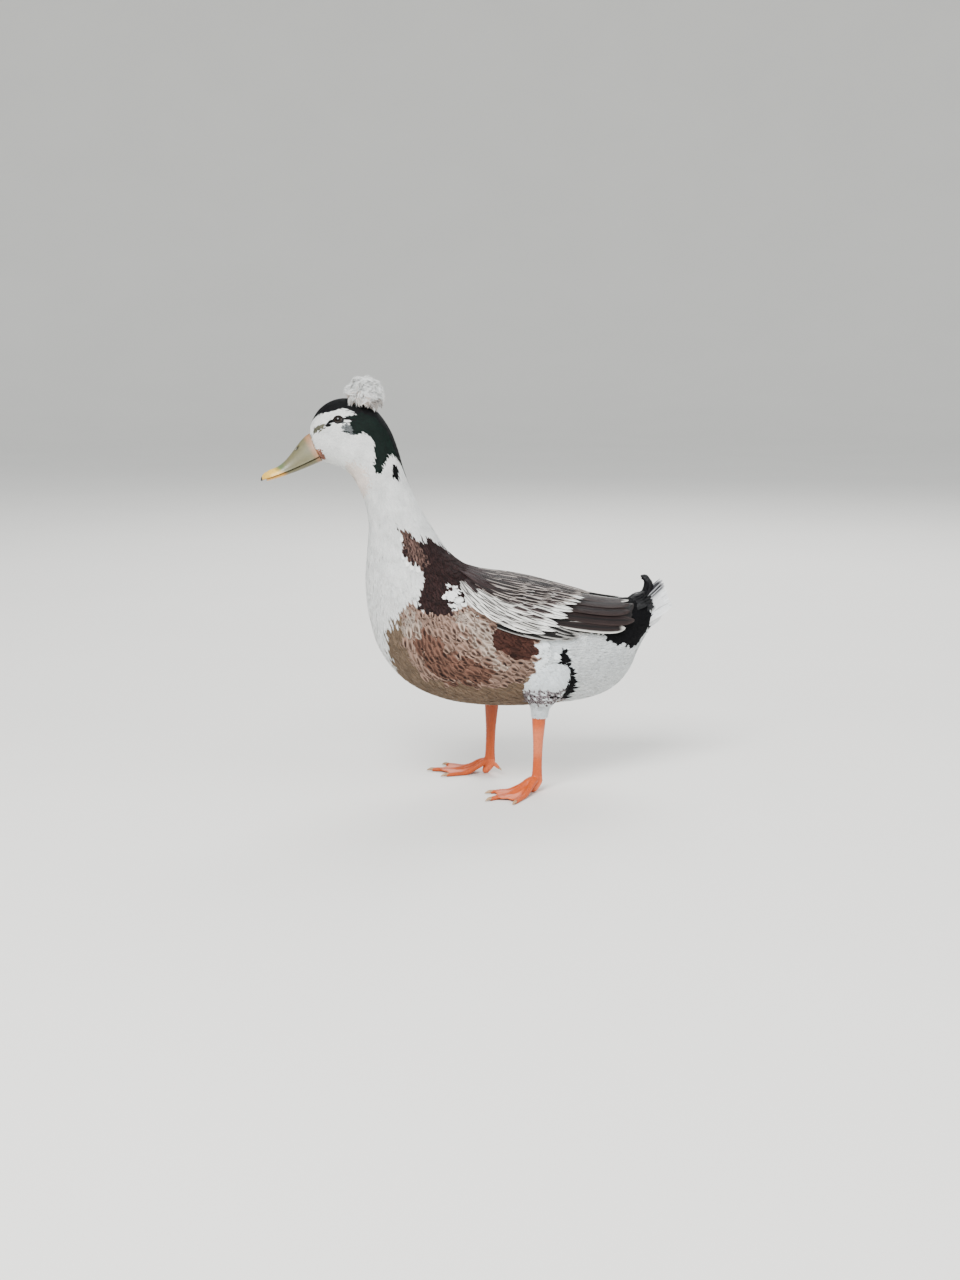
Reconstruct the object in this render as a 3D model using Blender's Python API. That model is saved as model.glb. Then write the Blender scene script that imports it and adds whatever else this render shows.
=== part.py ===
"""A crested duck drake that stands still, at life size.

Metres, +Z up. The bird faces -X with its left side towards -Y, and its feet stand on Z = 0.
The sizes below are in millimetres and are turned to metres where points are made.
"""

import math
import random
from collections import namedtuple

import bmesh
import bpy
from mathutils import Matrix, Vector

MM = 0.001
GAP = 0.3
LEFT, RIGHT = -1, 1
SIDES = {"left": LEFT, "right": RIGHT}

# The whole bird is shifted by this much along X and Y, so that the origin is the middle of its box.
CENTRE = (34.37, -3.75)

# Profile of head, neck and body in the plane of symmetry, from the face to the root of the tail.
# Each station has its point on the back, its point on the underside, its half width,
# and how far its widest level lies below its middle, as a share of the half height.
Station = namedtuple("Station", "back under half_width sag")
FACE = 0
HEAD_END = 8
NECK_END = 13
BODY_END = 24
STATIONS = (
    Station((-197.0, 361.5), (-184.0, 333.0), 12.5, 0.00),
    Station((-193.5, 373.5), (-180.0, 331.5), 15.5, 0.10),
    Station((-186.0, 384.5), (-174.0, 330.0), 18.5, 0.18),
    Station((-174.5, 392.0), (-168.0, 328.0), 20.5, 0.22),
    Station((-161.0, 394.5), (-162.0, 325.0), 21.5, 0.24),
    Station((-145.0, 391.5), (-157.0, 320.5), 21.5, 0.20),
    Station((-130.0, 381.5), (-153.0, 315.0), 20.5, 0.12),
    Station((-117.5, 363.5), (-149.5, 308.5), 19.0, 0.05),
    Station((-110.0, 344.0), (-146.0, 300.5), 18.0, 0.00),
    Station((-104.5, 324.5), (-142.5, 291.5), 18.5, 0.00),
    Station((-97.5, 306.0), (-140.5, 280.5), 20.5, 0.00),
    Station((-89.0, 288.0), (-139.5, 267.5), 24.0, 0.00),
    Station((-76.0, 266.5), (-140.5, 251.5), 30.0, 0.02),
    Station((-61.5, 245.0), (-142.0, 232.5), 38.0, 0.05),
    Station((-46.5, 232.0), (-142.5, 209.0), 46.5, 0.06),
    Station((-31.5, 224.5), (-139.0, 178.5), 54.5, 0.06),
    Station((-16.0, 220.5), (-128.5, 144.0), 60.5, 0.05),
    Station((1.0, 218.0), (-104.5, 113.5), 64.5, 0.03),
    Station((20.5, 214.0), (-70.0, 94.5), 66.5, 0.00),
    Station((42.5, 208.0), (-31.5, 85.5), 66.0, -0.03),
    Station((65.0, 201.0), (10.0, 82.0), 62.5, -0.06),
    Station((87.0, 194.5), (49.0, 82.0), 56.5, -0.08),
    Station((106.5, 190.0), (83.0, 84.5), 48.5, -0.08),
    Station((123.0, 187.5), (109.0, 92.0), 40.0, -0.05),
    Station((136.0, 187.0), (125.5, 105.5), 31.5, 0.00),
    Station((144.0, 187.0), (134.5, 123.0), 25.5, 0.00),
    Station((151.5, 188.5), (145.5, 141.0), 20.0, 0.00),
    Station((157.0, 190.5), (155.0, 158.0), 14.0, 0.00),
    Station((161.0, 193.0), (161.5, 174.0), 7.5, 0.00),
)
RUMP_END = 28
BODY_SIDES = 24

# The head is turned to the bird's right about an upright line through the neck.
HEAD_TURN = -16.0
NECK_AXIS = (-121.7, 0.0)

# Bill, measured along the edge of the mouth from the face to the tip.
BILL_ROOT = (-186.5, 338.5)
BILL_TIP = (-243.5, 314.8)
BILL_SAG = 1.5
CULMEN_HEIGHT = 24.0
CULMEN_FLAT = 7.0
BILL_HALF_WIDTH = 12.3
BILL_WAIST = 10.6
BILL_SPOON = 12.4
SPOON_START = 0.80
KEEL_DEPTH = 5.2
LOWER_BILL_REACH = 0.94
NAIL_AT = 0.955
NAIL_SIZE = (4.2, 3.8, 2.0)
NOSTRIL_AT = 0.34
NOSTRIL_SIZE = (3.8, 1.5)

# Eyes.
EYE_AT = (-167.2, 375.0)
EYE_RADIUS = 5.4
EYE_BULGE = 2.2
LID_RADIUS = 5.2
LID_THICK = 1.0

# Crest on the back of the crown: locks that stand out of a small core.
CREST_AT = (-143.0, 397.0)
CREST_CORE = 10.5
CREST_REACH = 21.5
CREST_LOCKS = 32
CREST_LOWEST = -0.22
LOCK_START = 0.42
LOCK_HALF_WIDTHS = (3.2, 5.4, 5.0, 1.1)
LOCK_THICK = 1.5
LOCK_BEND = 6.0

# Legs. The right foot stands a little ahead of the left one.
Leg = namedtuple("Leg", "joint_x toe_out")
LEGS = {"left": Leg(21.0, 14.0), "right": Leg(-3.5, 24.0)}
STANCE = 43.0
HOCK_HEIGHT = 77.0
HOCK_BACK = 2.5
ANKLE_HEIGHT = 18.0
ANKLE_SECTIONS = (
    # height, half depth, half width
    (3.0, 6.6, 6.2),
    (9.0, 6.6, 6.0),
    (13.0, 6.2, 5.4),
    (18.0, 5.6, 4.9),
)
SHANK_SECTIONS = (
    (18.0, 5.6, 4.9),
    (25.0, 5.2, 4.4),
    (36.0, 5.0, 4.1),
    (50.0, 5.3, 4.4),
    (61.0, 6.2, 5.2),
    (70.0, 7.0, 6.0),
    (77.0, 7.3, 6.4),
)

# Toes: turn from the foot's own line (towards the bird's middle is positive), length, root and tip radius.
Toe = namedtuple("Toe", "turn length root tip")
TOES = (
    Toe(27.0, 47.0, 4.3, 2.5),
    Toe(0.0, 60.0, 4.6, 2.6),
    Toe(-27.0, 55.0, 4.4, 2.5),
)
CLAW_LENGTH = 7.0
TOE_RISE = 10.5
TOE_DROP_END = 0.62
HIND_TOE = Toe(140.0, 11.5, 2.6, 1.6)
HIND_TOE_HEIGHT = 12.5
WEB_THICK = 1.5
WEB_REACH = 0.97
WEB_SCALLOP = 0.10

# Thighs.
THIGH_TOP_HEIGHT = 150.0
THIGH_SECTIONS = (
    # height, shift back, shift out, half depth, half width
    (77.0, 1.0, 0.0, 9.4, 8.6),
    (83.0, 2.0, 0.0, 13.5, 12.0),
    (96.0, 4.5, 1.5, 21.0, 17.0),
    (112.0, 7.0, 4.0, 27.0, 19.5),
    (130.0, 8.0, 3.0, 28.0, 18.0),
    (150.0, 7.0, -4.0, 20.0, 12.0),
)

# Folded wing: how far it reaches along the body, and its edges as turns from the back at shares of that.
WING_FRONT = 14.5
WING_REAR = 22.2
WING_TOP = (34.0, 22.0, 15.0, 12.0, 11.0, 12.0, 20.0)
WING_LOW = (52.0, 68.0, 72.0, 75.0, 77.0, 70.0, 50.0)
WING_LIFT = (0.6, 4.2, 5.4, 5.2, 4.2, 2.8, 1.0)

# A tier of feathers: root and tip of its first and last one as (station, degrees from the back),
# how many, their half width, how high root and tip lie over the body, and how many strips they have across.
Tier = namedtuple("Tier", "count first last half_width root_lift tip_lift strips outline")
# Outlines of feathers: share of the length, and share of the half width there.
LONG = ((0.0, 0.50), (0.35, 0.90), (0.70, 1.00), (0.91, 0.72), (1.0, 0.16))
SHORT = ((0.0, 0.55), (0.50, 1.00), (0.87, 0.82), (1.0, 0.20))
WING_TIERS = (
    # primaries
    Tier(3, ((20.8, 62.0), (23.6, 44.0)), ((20.6, 50.0), (23.9, 27.0)), 6.5, 1.4, 2.2, 1, SHORT),
    # secondaries
    Tier(6, ((17.5, 74.5), (19.5, 80.0)), ((19.2, 52.0), (21.5, 68.0)), 6.6, 2.0, 2.6, 1, SHORT),
    # tertials
    Tier(4, ((19.4, 63.0), (22.7, 61.0)), ((18.9, 28.0), (23.3, 24.0)), 8.5, 2.4, 4.4, 2, LONG),
    # greater coverts
    Tier(7, ((17.8, 70.0), (19.1, 75.5)), ((18.8, 32.0), (20.2, 33.0)), 6.8, 3.2, 5.6, 1, SHORT),
    # median coverts
    Tier(5, ((16.5, 64.0), (17.9, 71.0)), ((17.5, 32.0), (18.9, 32.0)), 7.6, 3.6, 6.6, 1, SHORT),
    # scapulars
    Tier(4, ((15.2, 43.0), (17.6, 51.0)), ((15.6, 22.0), (19.2, 17.0)), 8.6, 3.0, 6.4, 1, LONG),
)
VANE_THICK = 0.8
VANE_CAMBER = 0.10
VANE_TILT = -0.13
FLAT_RADIUS = 60.0

# Tail: root and tip of the middle and of the outermost feather, and how far the fan's roof slopes.
Fan = namedtuple("Fan", "count inner outer half_width slopes strips outline")
TAIL_FANS = (
    # tail feathers
    Fan(6, ((138.0, 2.0, 174.0), (170.0, 4.0, 205.5)), ((140.0, 11.0, 157.0), (171.5, 27.0, 182.5)), 7.0,
        (18.0, 50.0), 1, SHORT),
    # coverts above them
    Fan(2, ((139.5, 5.0, 183.5), (156.5, 6.0, 197.5)), ((139.5, 14.0, 177.0), (158.0, 18.0, 188.0)), 7.6,
        (12.0, 48.0), 1, SHORT),
    # coverts below them
    Fan(2, ((138.0, 5.0, 144.0), (161.5, 5.0, 164.5)), ((138.0, 14.0, 150.0), (163.0, 17.0, 172.5)), 7.6,
        (168.0, 135.0), 1, SHORT),
)
CURL_PATH = ((146.0, 183.0), (153.0, 195.0), (155.5, 204.0), (152.0, 210.5), (145.0, 210.0))
CURL_HALF_WIDTHS = (3.6, 3.3, 2.9, 2.3, 0.7)
CURLS = ((2.4, 0.0, 1.0), (6.0, 2.5, 0.82))
CURL_THICK = 1.2

Paint = namedtuple("Paint", "colour roughness")
PAINTS = {
    "green_black_head": Paint((0.012, 0.035, 0.030), 0.35),
    "white_plumage": Paint((0.78, 0.78, 0.74), 0.80),
    "brown_plumage": Paint((0.16, 0.085, 0.055), 0.75),
    "black_plumage": Paint((0.012, 0.012, 0.018), 0.50),
    "olive_bill": Paint((0.42, 0.38, 0.19), 0.45),
    "orange_skin": Paint((0.78, 0.20, 0.05), 0.50),
    "dark_eye": Paint((0.012, 0.008, 0.006), 0.08),
}


def catmull(a, b, c, d, t):
    """Smooth value between b and c at share t."""
    return 0.5 * (2 * b + (c - a) * t + (2 * a - 5 * b + 4 * c - d) * t * t + (3 * b - a - 3 * c + d) * t ** 3)


def smooth(t):
    """Eased share from 0 to 1."""
    t = min(1.0, max(0.0, t))
    return t * t * (3 - 2 * t)


def station_at(s, stations=STATIONS):
    """Back x and z, underside x and z, half width and sag at a fractional station."""
    last = len(stations) - 1
    i = min(last - 1, max(0, int(math.floor(s))))
    t = s - i
    rows = [stations[min(last, max(0, k))] for k in (i - 1, i, i + 1, i + 2)]
    flat = [(*r.back, *r.under, r.half_width, r.sag) for r in rows]
    return [catmull(*column, t) for column in zip(*flat)]


def turned(point, share):
    """The point with a share of the head's turn, about the neck's upright axis."""
    axis = Vector((*NECK_AXIS, 0.0))
    return Matrix.Rotation(math.radians(HEAD_TURN) * share, 3, "Z") @ (point - axis) + axis


def turn_share(s):
    """How much of the head's turn a station takes."""
    return smooth((NECK_END - s) / (NECK_END - HEAD_END))


def section_point(values, angle):
    """Point of a section at an angle from the back, positive to the bird's left, before the head's turn."""
    back_x, back_z, under_x, under_z, half_width, sag = values
    rise = math.cos(angle)
    along = rise - sag * (1 - rise * rise)
    x = (back_x + under_x) / 2 + (back_x - under_x) / 2 * along
    z = (back_z + under_z) / 2 + (back_z - under_z) / 2 * along
    return Vector((x, LEFT * half_width * math.sin(angle), z))


def body_point(s, angle):
    """Point of the body's surface at station s and an angle from the back, in millimetres."""
    return turned(section_point(station_at(s), angle), turn_share(s))


def body_normal(s, angle):
    """Outward direction of the body's surface."""
    step = 0.02
    along = body_point(s + step, angle) - body_point(s - step, angle)
    around = body_point(s, angle + step) - body_point(s, angle - step)
    return around.cross(along).normalized()


def body_ring(s, sides=BODY_SIDES, shift=0.0):
    """One ring of the body's surface, moved along the body by shift millimetres."""
    ring = [body_point(s, 2 * math.pi * k / sides) for k in range(sides)]
    if shift:
        middle = sum(ring, Vector()) / sides
        normal = (ring[0] - middle).cross(ring[sides // 4] - middle).normalized()
        ahead = (body_point(s + 0.1, 0) + body_point(s + 0.1, math.pi)) / 2 - middle
        if normal.dot(ahead) < 0:
            normal = -normal
        ring = [p + normal * shift for p in ring]
    return ring


def new_object(name, bm, paint):
    """Object of the bird made from a bmesh in millimetres, with outward faces and its paint."""
    bmesh.ops.recalc_face_normals(bm, faces=bm.faces)
    bmesh.ops.scale(bm, vec=(MM, MM, MM), verts=bm.verts)
    mesh = bpy.data.meshes.new(name)
    bm.to_mesh(mesh)
    bm.free()
    mesh.shade_smooth()
    mesh.set_sharp_from_angle(angle=math.radians(40))
    mesh.materials.append(bpy.data.materials[paint])
    made = bpy.data.objects.new(name, mesh)
    bird.objects.link(made)
    return made


def loft(rings, tip=None):
    """Closed bmesh through rings of equal count, with fan caps. A tip point closes the last ring."""
    bm = bmesh.new()
    rows = [[bm.verts.new(p) for p in ring] for ring in rings]
    count = len(rings[0])
    for near, far in zip(rows, rows[1:]):
        for k in range(count):
            j = (k + 1) % count
            bm.faces.new((near[k], near[j], far[j]))
            bm.faces.new((near[k], far[j], far[k]))
    ends = [(rows[0], sum(rings[0], Vector()) / count), (rows[-1], tip or sum(rings[-1], Vector()) / count)]
    for row, point in ends:
        middle = bm.verts.new(point)
        for k in range(count):
            bm.faces.new((row[k], row[(k + 1) % count], middle))
    return bm


def blade(points, normals, half_widths, thick, tilt=0.0, camber=0.0, columns=2):
    """Flat tapering blade along points, as a closed bmesh, with its face towards the normals."""
    top, bottom = [], []
    for i, point in enumerate(points):
        ahead = points[min(len(points) - 1, i + 1)] - points[max(0, i - 1)]
        across = normals[i].cross(ahead).normalized()
        up = ahead.cross(across).normalized()
        upper, lower = [], []
        for k in range(columns + 1):
            q = 2 * k / columns - 1
            middle = point + across * half_widths[i] * q
            middle += up * half_widths[i] * (tilt * q + camber * (1 - q * q))
            upper.append(middle + up * thick / 2)
            lower.append(middle - up * thick / 2)
        top.append(upper)
        bottom.append(lower)
    return plate(top, bottom)


def ball(centre, radii, turn=None, segments=16, rings=10):
    """Bmesh of an ellipsoid."""
    bm = bmesh.new()
    matrix = Matrix.Translation(centre) @ (turn or Matrix()).to_4x4() @ Matrix.Diagonal((*radii, 1.0))
    bmesh.ops.create_uvsphere(bm, u_segments=segments, v_segments=rings, radius=1.0, matrix=matrix)
    return bm


def tube(points, radii, sides=8, tip=None):
    """Bmesh of a tapering round limb along points."""
    rings = []
    for i, point in enumerate(points):
        before, after = points[max(0, i - 1)], points[min(len(points) - 1, i + 1)]
        ahead = (after - before).normalized()
        across = ahead.cross(Vector((0, 0, 1)))
        across = across.normalized() if across.length > 0.1 else Vector((0, 1, 0))
        up = across.cross(ahead).normalized()
        turns = [2 * math.pi * k / sides for k in range(sides)]
        rings.append([point + (across * math.cos(a) + up * math.sin(a)) * radii[i] for a in turns])
    return loft(rings, tip)


def boolean(target, operation, others):
    """Applies one exact Boolean of the target with a collection of the others, which are then removed."""
    group = bpy.data.collections.new("group")
    for other in others:
        group.objects.link(other)
    modifier = target.modifiers.new("join", "BOOLEAN")
    modifier.operation = operation
    modifier.operand_type = "COLLECTION"
    modifier.collection = group
    modifier.solver = "EXACT"
    bpy.context.view_layer.update()
    graph = bpy.context.evaluated_depsgraph_get()
    made = bpy.data.meshes.new_from_object(target.evaluated_get(graph))
    target.modifiers.clear()
    target.data = made
    for other in list(group.objects):
        bpy.data.objects.remove(other)
    bpy.data.collections.remove(group)
    keep_largest(target)


def keep_largest(target):
    """Leaves the object's largest closed surface."""
    bm = bmesh.new()
    bm.from_mesh(target.data)
    bmesh.ops.triangulate(bm, faces=bm.faces)
    unseen = set(bm.faces)
    shells = []
    while unseen:
        stack = [unseen.pop()]
        shell = list(stack)
        while stack:
            for edge in stack.pop().edges:
                for face in edge.link_faces:
                    if face in unseen:
                        unseen.remove(face)
                        stack.append(face)
                        shell.append(face)
        shells.append(shell)
    shells.sort(key=lambda faces: sum(f.calc_area() for f in faces))
    loose = [face for shell in shells[:-1] for face in shell]
    bmesh.ops.delete(bm, geom=loose, context="FACES")
    bm.to_mesh(target.data)
    bm.free()


def join(target, pieces):
    """Fuses pieces, given as bmeshes in millimetres, into the target."""
    boolean(target, "UNION", [new_object("piece", bm, target.data.materials[0].name) for bm in pieces])


def clear_of(target, *neighbours):
    """Cuts the target back from its neighbours, with the gap that touching pieces keep."""
    for neighbour in neighbours:
        bm = bmesh.new()
        bm.from_mesh(neighbour.data)
        bm.normal_update()
        moves = [(v, v.normal * GAP * 1.2 * MM) for v in bm.verts]
        for vert, move in moves:
            vert.co += move
        bmesh.ops.scale(bm, vec=(1 / MM,) * 3, verts=bm.verts)
        boolean(target, "DIFFERENCE", [new_object("cutter", bm, target.data.materials[0].name)])


def surface_at(x, z, side):
    """Station and angle where the head's surface has this place in the side view."""
    best = None
    centre_s, centre_a, reach_s, reach_a = 4.0, math.pi / 2, 4.0, math.pi / 2
    for _ in range(6):
        for i in range(13):
            for k in range(13):
                s = min(HEAD_END, max(FACE, centre_s + reach_s * (i / 6 - 1)))
                a = centre_a + reach_a * (k / 6 - 1)
                p = section_point(station_at(s), a)
                miss = (p.x - x) ** 2 + (p.z - z) ** 2
                if best is None or miss < best[0]:
                    best = (miss, s, a)
        centre_s, centre_a = best[1], best[2]
        reach_s, reach_a = reach_s / 3, reach_a / 3
    return best[1], -side * best[2]


def make_body_part(name, first, last, paint, rings):
    """A length of the body between two stations, with half the gap left at each cut."""
    start = GAP / 2 if first > FACE else 0.0
    end = -GAP / 2
    steps = [first + (last - first) * i / rings for i in range(rings + 1)]
    made = [body_ring(s, shift=start if i == 0 else end if i == rings else 0.0) for i, s in enumerate(steps)]
    return new_object(name, loft(made), paint)


def eye_place(side):
    """Centre of an eye, its outward direction and a turn that lays a ring round it."""
    s, angle = surface_at(*EYE_AT, side)
    out = body_normal(s, angle)
    centre = body_point(s, angle) + out * (EYE_BULGE - EYE_RADIUS)
    return centre, out, out.to_track_quat("Z", "X").to_matrix()


def lid_ring(side):
    """Rim of the lids round an eye, as a bmesh."""
    centre, out, turn = eye_place(side)
    middle = centre + out * (EYE_RADIUS - EYE_BULGE)
    bm = bmesh.new()
    around, across = 16, 5
    rows = []
    for i in range(around):
        a = 2 * math.pi * i / around
        hub = Vector((math.cos(a), math.sin(a), 0)) * LID_RADIUS
        row = []
        for k in range(across):
            b = 2 * math.pi * k / across
            row.append(bm.verts.new(middle + turn @ (hub * (1 + LID_THICK / LID_RADIUS * math.cos(b))
                                                      + Vector((0, 0, LID_THICK * math.sin(b))))))
        rows.append(row)
    for i in range(around):
        near, far = rows[i], rows[(i + 1) % around]
        for k in range(across):
            j = (k + 1) % across
            bm.faces.new((near[k], near[j], far[j], far[k]))
    return bm


def mouth_point(t):
    """Point on the edge of the mouth in the side view, at share t of the bill."""
    x = BILL_ROOT[0] + (BILL_TIP[0] - BILL_ROOT[0]) * t
    z = BILL_ROOT[1] + (BILL_TIP[1] - BILL_ROOT[1]) * t - BILL_SAG * math.sin(math.pi * t)
    return Vector((x, 0, z))


def bill_half_width(t):
    """Half width of the bill, with its waist and its round spoon."""
    waist = BILL_HALF_WIDTH + (BILL_WAIST - BILL_HALF_WIDTH) * smooth(t / 0.45)
    width = waist + (BILL_SPOON - BILL_WAIST) * smooth((t - 0.45) / 0.30)
    if t > SPOON_START:
        past = (t - SPOON_START) / (1 - SPOON_START)
        width *= math.sqrt(max(0.0, 1 - past * past))
    return width


def bill_height(t):
    """Height of the upper bill over the edge of the mouth."""
    height = CULMEN_FLAT + (CULMEN_HEIGHT - CULMEN_FLAT) * (1 - smooth(t / 0.78)) ** 1.15
    return height * (1 - 0.55 * smooth((t - 0.82) / 0.18))


BILL_AHEAD = Vector((BILL_TIP[0] - BILL_ROOT[0], 0, BILL_TIP[1] - BILL_ROOT[1])).normalized()
BILL_UP = Vector((BILL_AHEAD.z, 0, -BILL_AHEAD.x))
# The face slopes, so the sections of the bill lean with it at the root and stand square further out.
FACE_LEAN = Vector((STATIONS[0].back[0] - STATIONS[0].under[0], 0, STATIONS[0].back[1] - STATIONS[0].under[1]))


def bill_up(t):
    """Upward direction of a section of the bill."""
    return FACE_LEAN.normalized().lerp(BILL_UP, smooth(t / 0.35)).normalized()


def upper_ring(t):
    """Section of the upper bill: a ridge over a flat palate."""
    up, middle, width, height = bill_up(t), mouth_point(t), bill_half_width(t), bill_height(t)
    ridge = 1.25 - 0.45 * smooth(t / 0.6)
    ring = []
    for k in range(13):
        a = math.pi * k / 12
        y = math.cos(a)
        rise = max(0.0, 1 - abs(y) ** (2.0 / ridge)) ** (ridge * 0.62)
        ring.append(turned(middle + Vector((0, width * y, 0)) + up * height * rise, 1.0))
    ring.append(turned(middle + Vector((0, -width * 0.5, 0)) + up * 0.9, 1.0))
    ring.append(turned(middle + Vector((0, width * 0.5, 0)) + up * 0.9, 1.0))
    return ring


def lower_ring(t):
    """Section of the lower bill: a shallow tray under the palate."""
    up, middle, width = bill_up(t), mouth_point(t * LOWER_BILL_REACH), bill_half_width(t) * 0.86
    depth = KEEL_DEPTH * (1 - 0.55 * t)
    ring = [middle + Vector((0, width * y, 0)) - up * GAP for y in (1.0, 0.45, -0.45, -1.0)]
    for k in range(1, 8):
        a = math.pi * k / 8
        ring.append(middle + Vector((0, -width * math.cos(a), 0)) - up * (GAP + depth * math.sin(a) ** 0.7))
    return [turned(p, 1.0) for p in ring]


def make_bill():
    """Upper and lower bill, which meet along the mouth."""
    shares = (0.0, 0.07, 0.15, 0.25, 0.36, 0.48, 0.60, 0.72, 0.82, 0.90, 0.955, 0.985)
    ahead = turned(BILL_AHEAD * GAP, 1.0) - turned(Vector(), 1.0)
    upper = [[p + (ahead if i == 0 else Vector()) for p in upper_ring(t)] for i, t in enumerate(shares)]
    lower = [[p + (ahead if i == 0 else Vector()) for p in lower_ring(t)] for i, t in enumerate(shares)]
    top = new_object("bill_upper", loft(upper), "olive_bill")
    nail = ball(turned(mouth_point(NAIL_AT) + BILL_UP * NAIL_SIZE[2] * 1.1, 1.0), NAIL_SIZE,
                Matrix.Rotation(math.radians(HEAD_TURN), 3, "Z")
                @ BILL_AHEAD.to_track_quat("X", "Z").to_matrix(), 12, 6)
    join(top, [nail])
    for side in SIDES.values():
        middle = mouth_point(NOSTRIL_AT) + bill_up(NOSTRIL_AT) * bill_height(NOSTRIL_AT) * 0.80
        middle.y = side * bill_half_width(NOSTRIL_AT) * 0.62
        hole = ball(turned(middle, 1.0), (NOSTRIL_SIZE[0] / 2, 2.0, NOSTRIL_SIZE[1] / 2),
                    Matrix.Rotation(math.radians(HEAD_TURN), 3, "Z")
                    @ BILL_AHEAD.to_track_quat("X", "Z").to_matrix(), 10, 6)
        boolean(top, "DIFFERENCE", [new_object("nostril", hole, "olive_bill")])
    bottom = new_object("bill_lower", loft(lower), "olive_bill")
    return top, bottom


def make_head():
    """Head with the rims of its lids and a socket for each eye, and the eyes."""
    head = make_body_part("head", FACE, HEAD_END, "green_black_head", 12)
    join(head, [lid_ring(side) for side in SIDES.values()])
    eyes = []
    for name, side in SIDES.items():
        centre, out, turn = eye_place(side)
        eyes.append(new_object("eye_" + name, ball(centre, (EYE_RADIUS,) * 3, turn, 16, 10), "dark_eye"))
    clear_of(head, *eyes)
    return head, eyes


def make_crest(head):
    """Tuft on the back of the crown: flat locks that stand out all round and bend back."""
    centre = turned(Vector((CREST_AT[0], 0, CREST_AT[1])), 1.0)
    draw = random.Random(7)
    crest = new_object("crest", ball(centre, (CREST_CORE,) * 3, None, 12, 8), "white_plumage")
    locks = []
    golden = math.pi * (3 - math.sqrt(5))
    for i in range(CREST_LOCKS):
        up = 1 - (1 - CREST_LOWEST) * (i + 0.5) / CREST_LOCKS
        flat = math.sqrt(1 - up * up)
        out = Vector((flat * math.cos(i * golden), flat * math.sin(i * golden), up))
        bend = (Vector((draw.uniform(0.1, 0.8), draw.uniform(-0.6, 0.6), draw.uniform(-0.7, 0.0)))
                + out.cross(Vector((0, 0, 1))) * draw.uniform(-0.5, 0.5))
        reach = CREST_REACH * draw.uniform(0.92, 1.04)
        points = []
        for k in range(len(LOCK_HALF_WIDTHS)):
            t = k / (len(LOCK_HALF_WIDTHS) - 1)
            way = (out * (LOCK_START + (1 - LOCK_START) * t) * reach + bend * LOCK_BEND * t * t)
            points.append(centre + way * min(1.0, reach / max(way.length, 1e-6)))
        face = out.cross(bend).cross(out).normalized()
        face = (face + out.cross(face) * draw.uniform(-0.8, 0.8)).normalized()
        locks.append(blade(points, [face] * len(points), LOCK_HALF_WIDTHS, LOCK_THICK, columns=1))
    join(crest, locks)
    clear_of(crest, head)
    return crest


def leg_place(name):
    """Middle of the foot's joint on the floor, and the foot's forward and inward directions."""
    side, leg = SIDES[name], LEGS[name]
    root = Vector((leg.joint_x, side * STANCE, 0.0))
    angle = math.radians(leg.toe_out) * side
    ahead = Vector((-math.cos(angle), math.sin(angle), 0.0))
    inward = Vector((-ahead.y, ahead.x, 0.0)) * side
    return root, ahead, inward


def leg_rings(name, sections):
    """Round sections of a leg at their heights, in the foot's directions."""
    root, ahead, inward = leg_place(name)
    rings = []
    for height, depth, width in sections:
        middle = root - ahead * HOCK_BACK * height / HOCK_HEIGHT + Vector((0, 0, height))
        turns = [2 * math.pi * k / 12 for k in range(12)]
        rings.append([middle + ahead * depth * math.cos(a) + inward * width * math.sin(a) for a in turns])
    return rings


def toe_path(root, ahead, inward, toe, steps=5):
    """Middle line and radii of a toe that comes down from the joint and lies on the floor."""
    angle = math.radians(toe.turn)
    way = ahead * math.cos(angle) + inward * math.sin(angle)
    points, radii = [], []
    for i in range(steps + 1):
        t = i / steps
        knuckle = 1 + 0.09 * math.cos(2 * math.pi * (t * 3 + 0.5)) * (1 - t)
        radius = (toe.root + (toe.tip - toe.root) * t) * knuckle
        height = radius * 0.82 + TOE_RISE * (1 - smooth(t / TOE_DROP_END))
        points.append(root + way * (toe.length * t) + Vector((0, 0, height)))
        radii.append(radius)
    return points, radii, way


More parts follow.
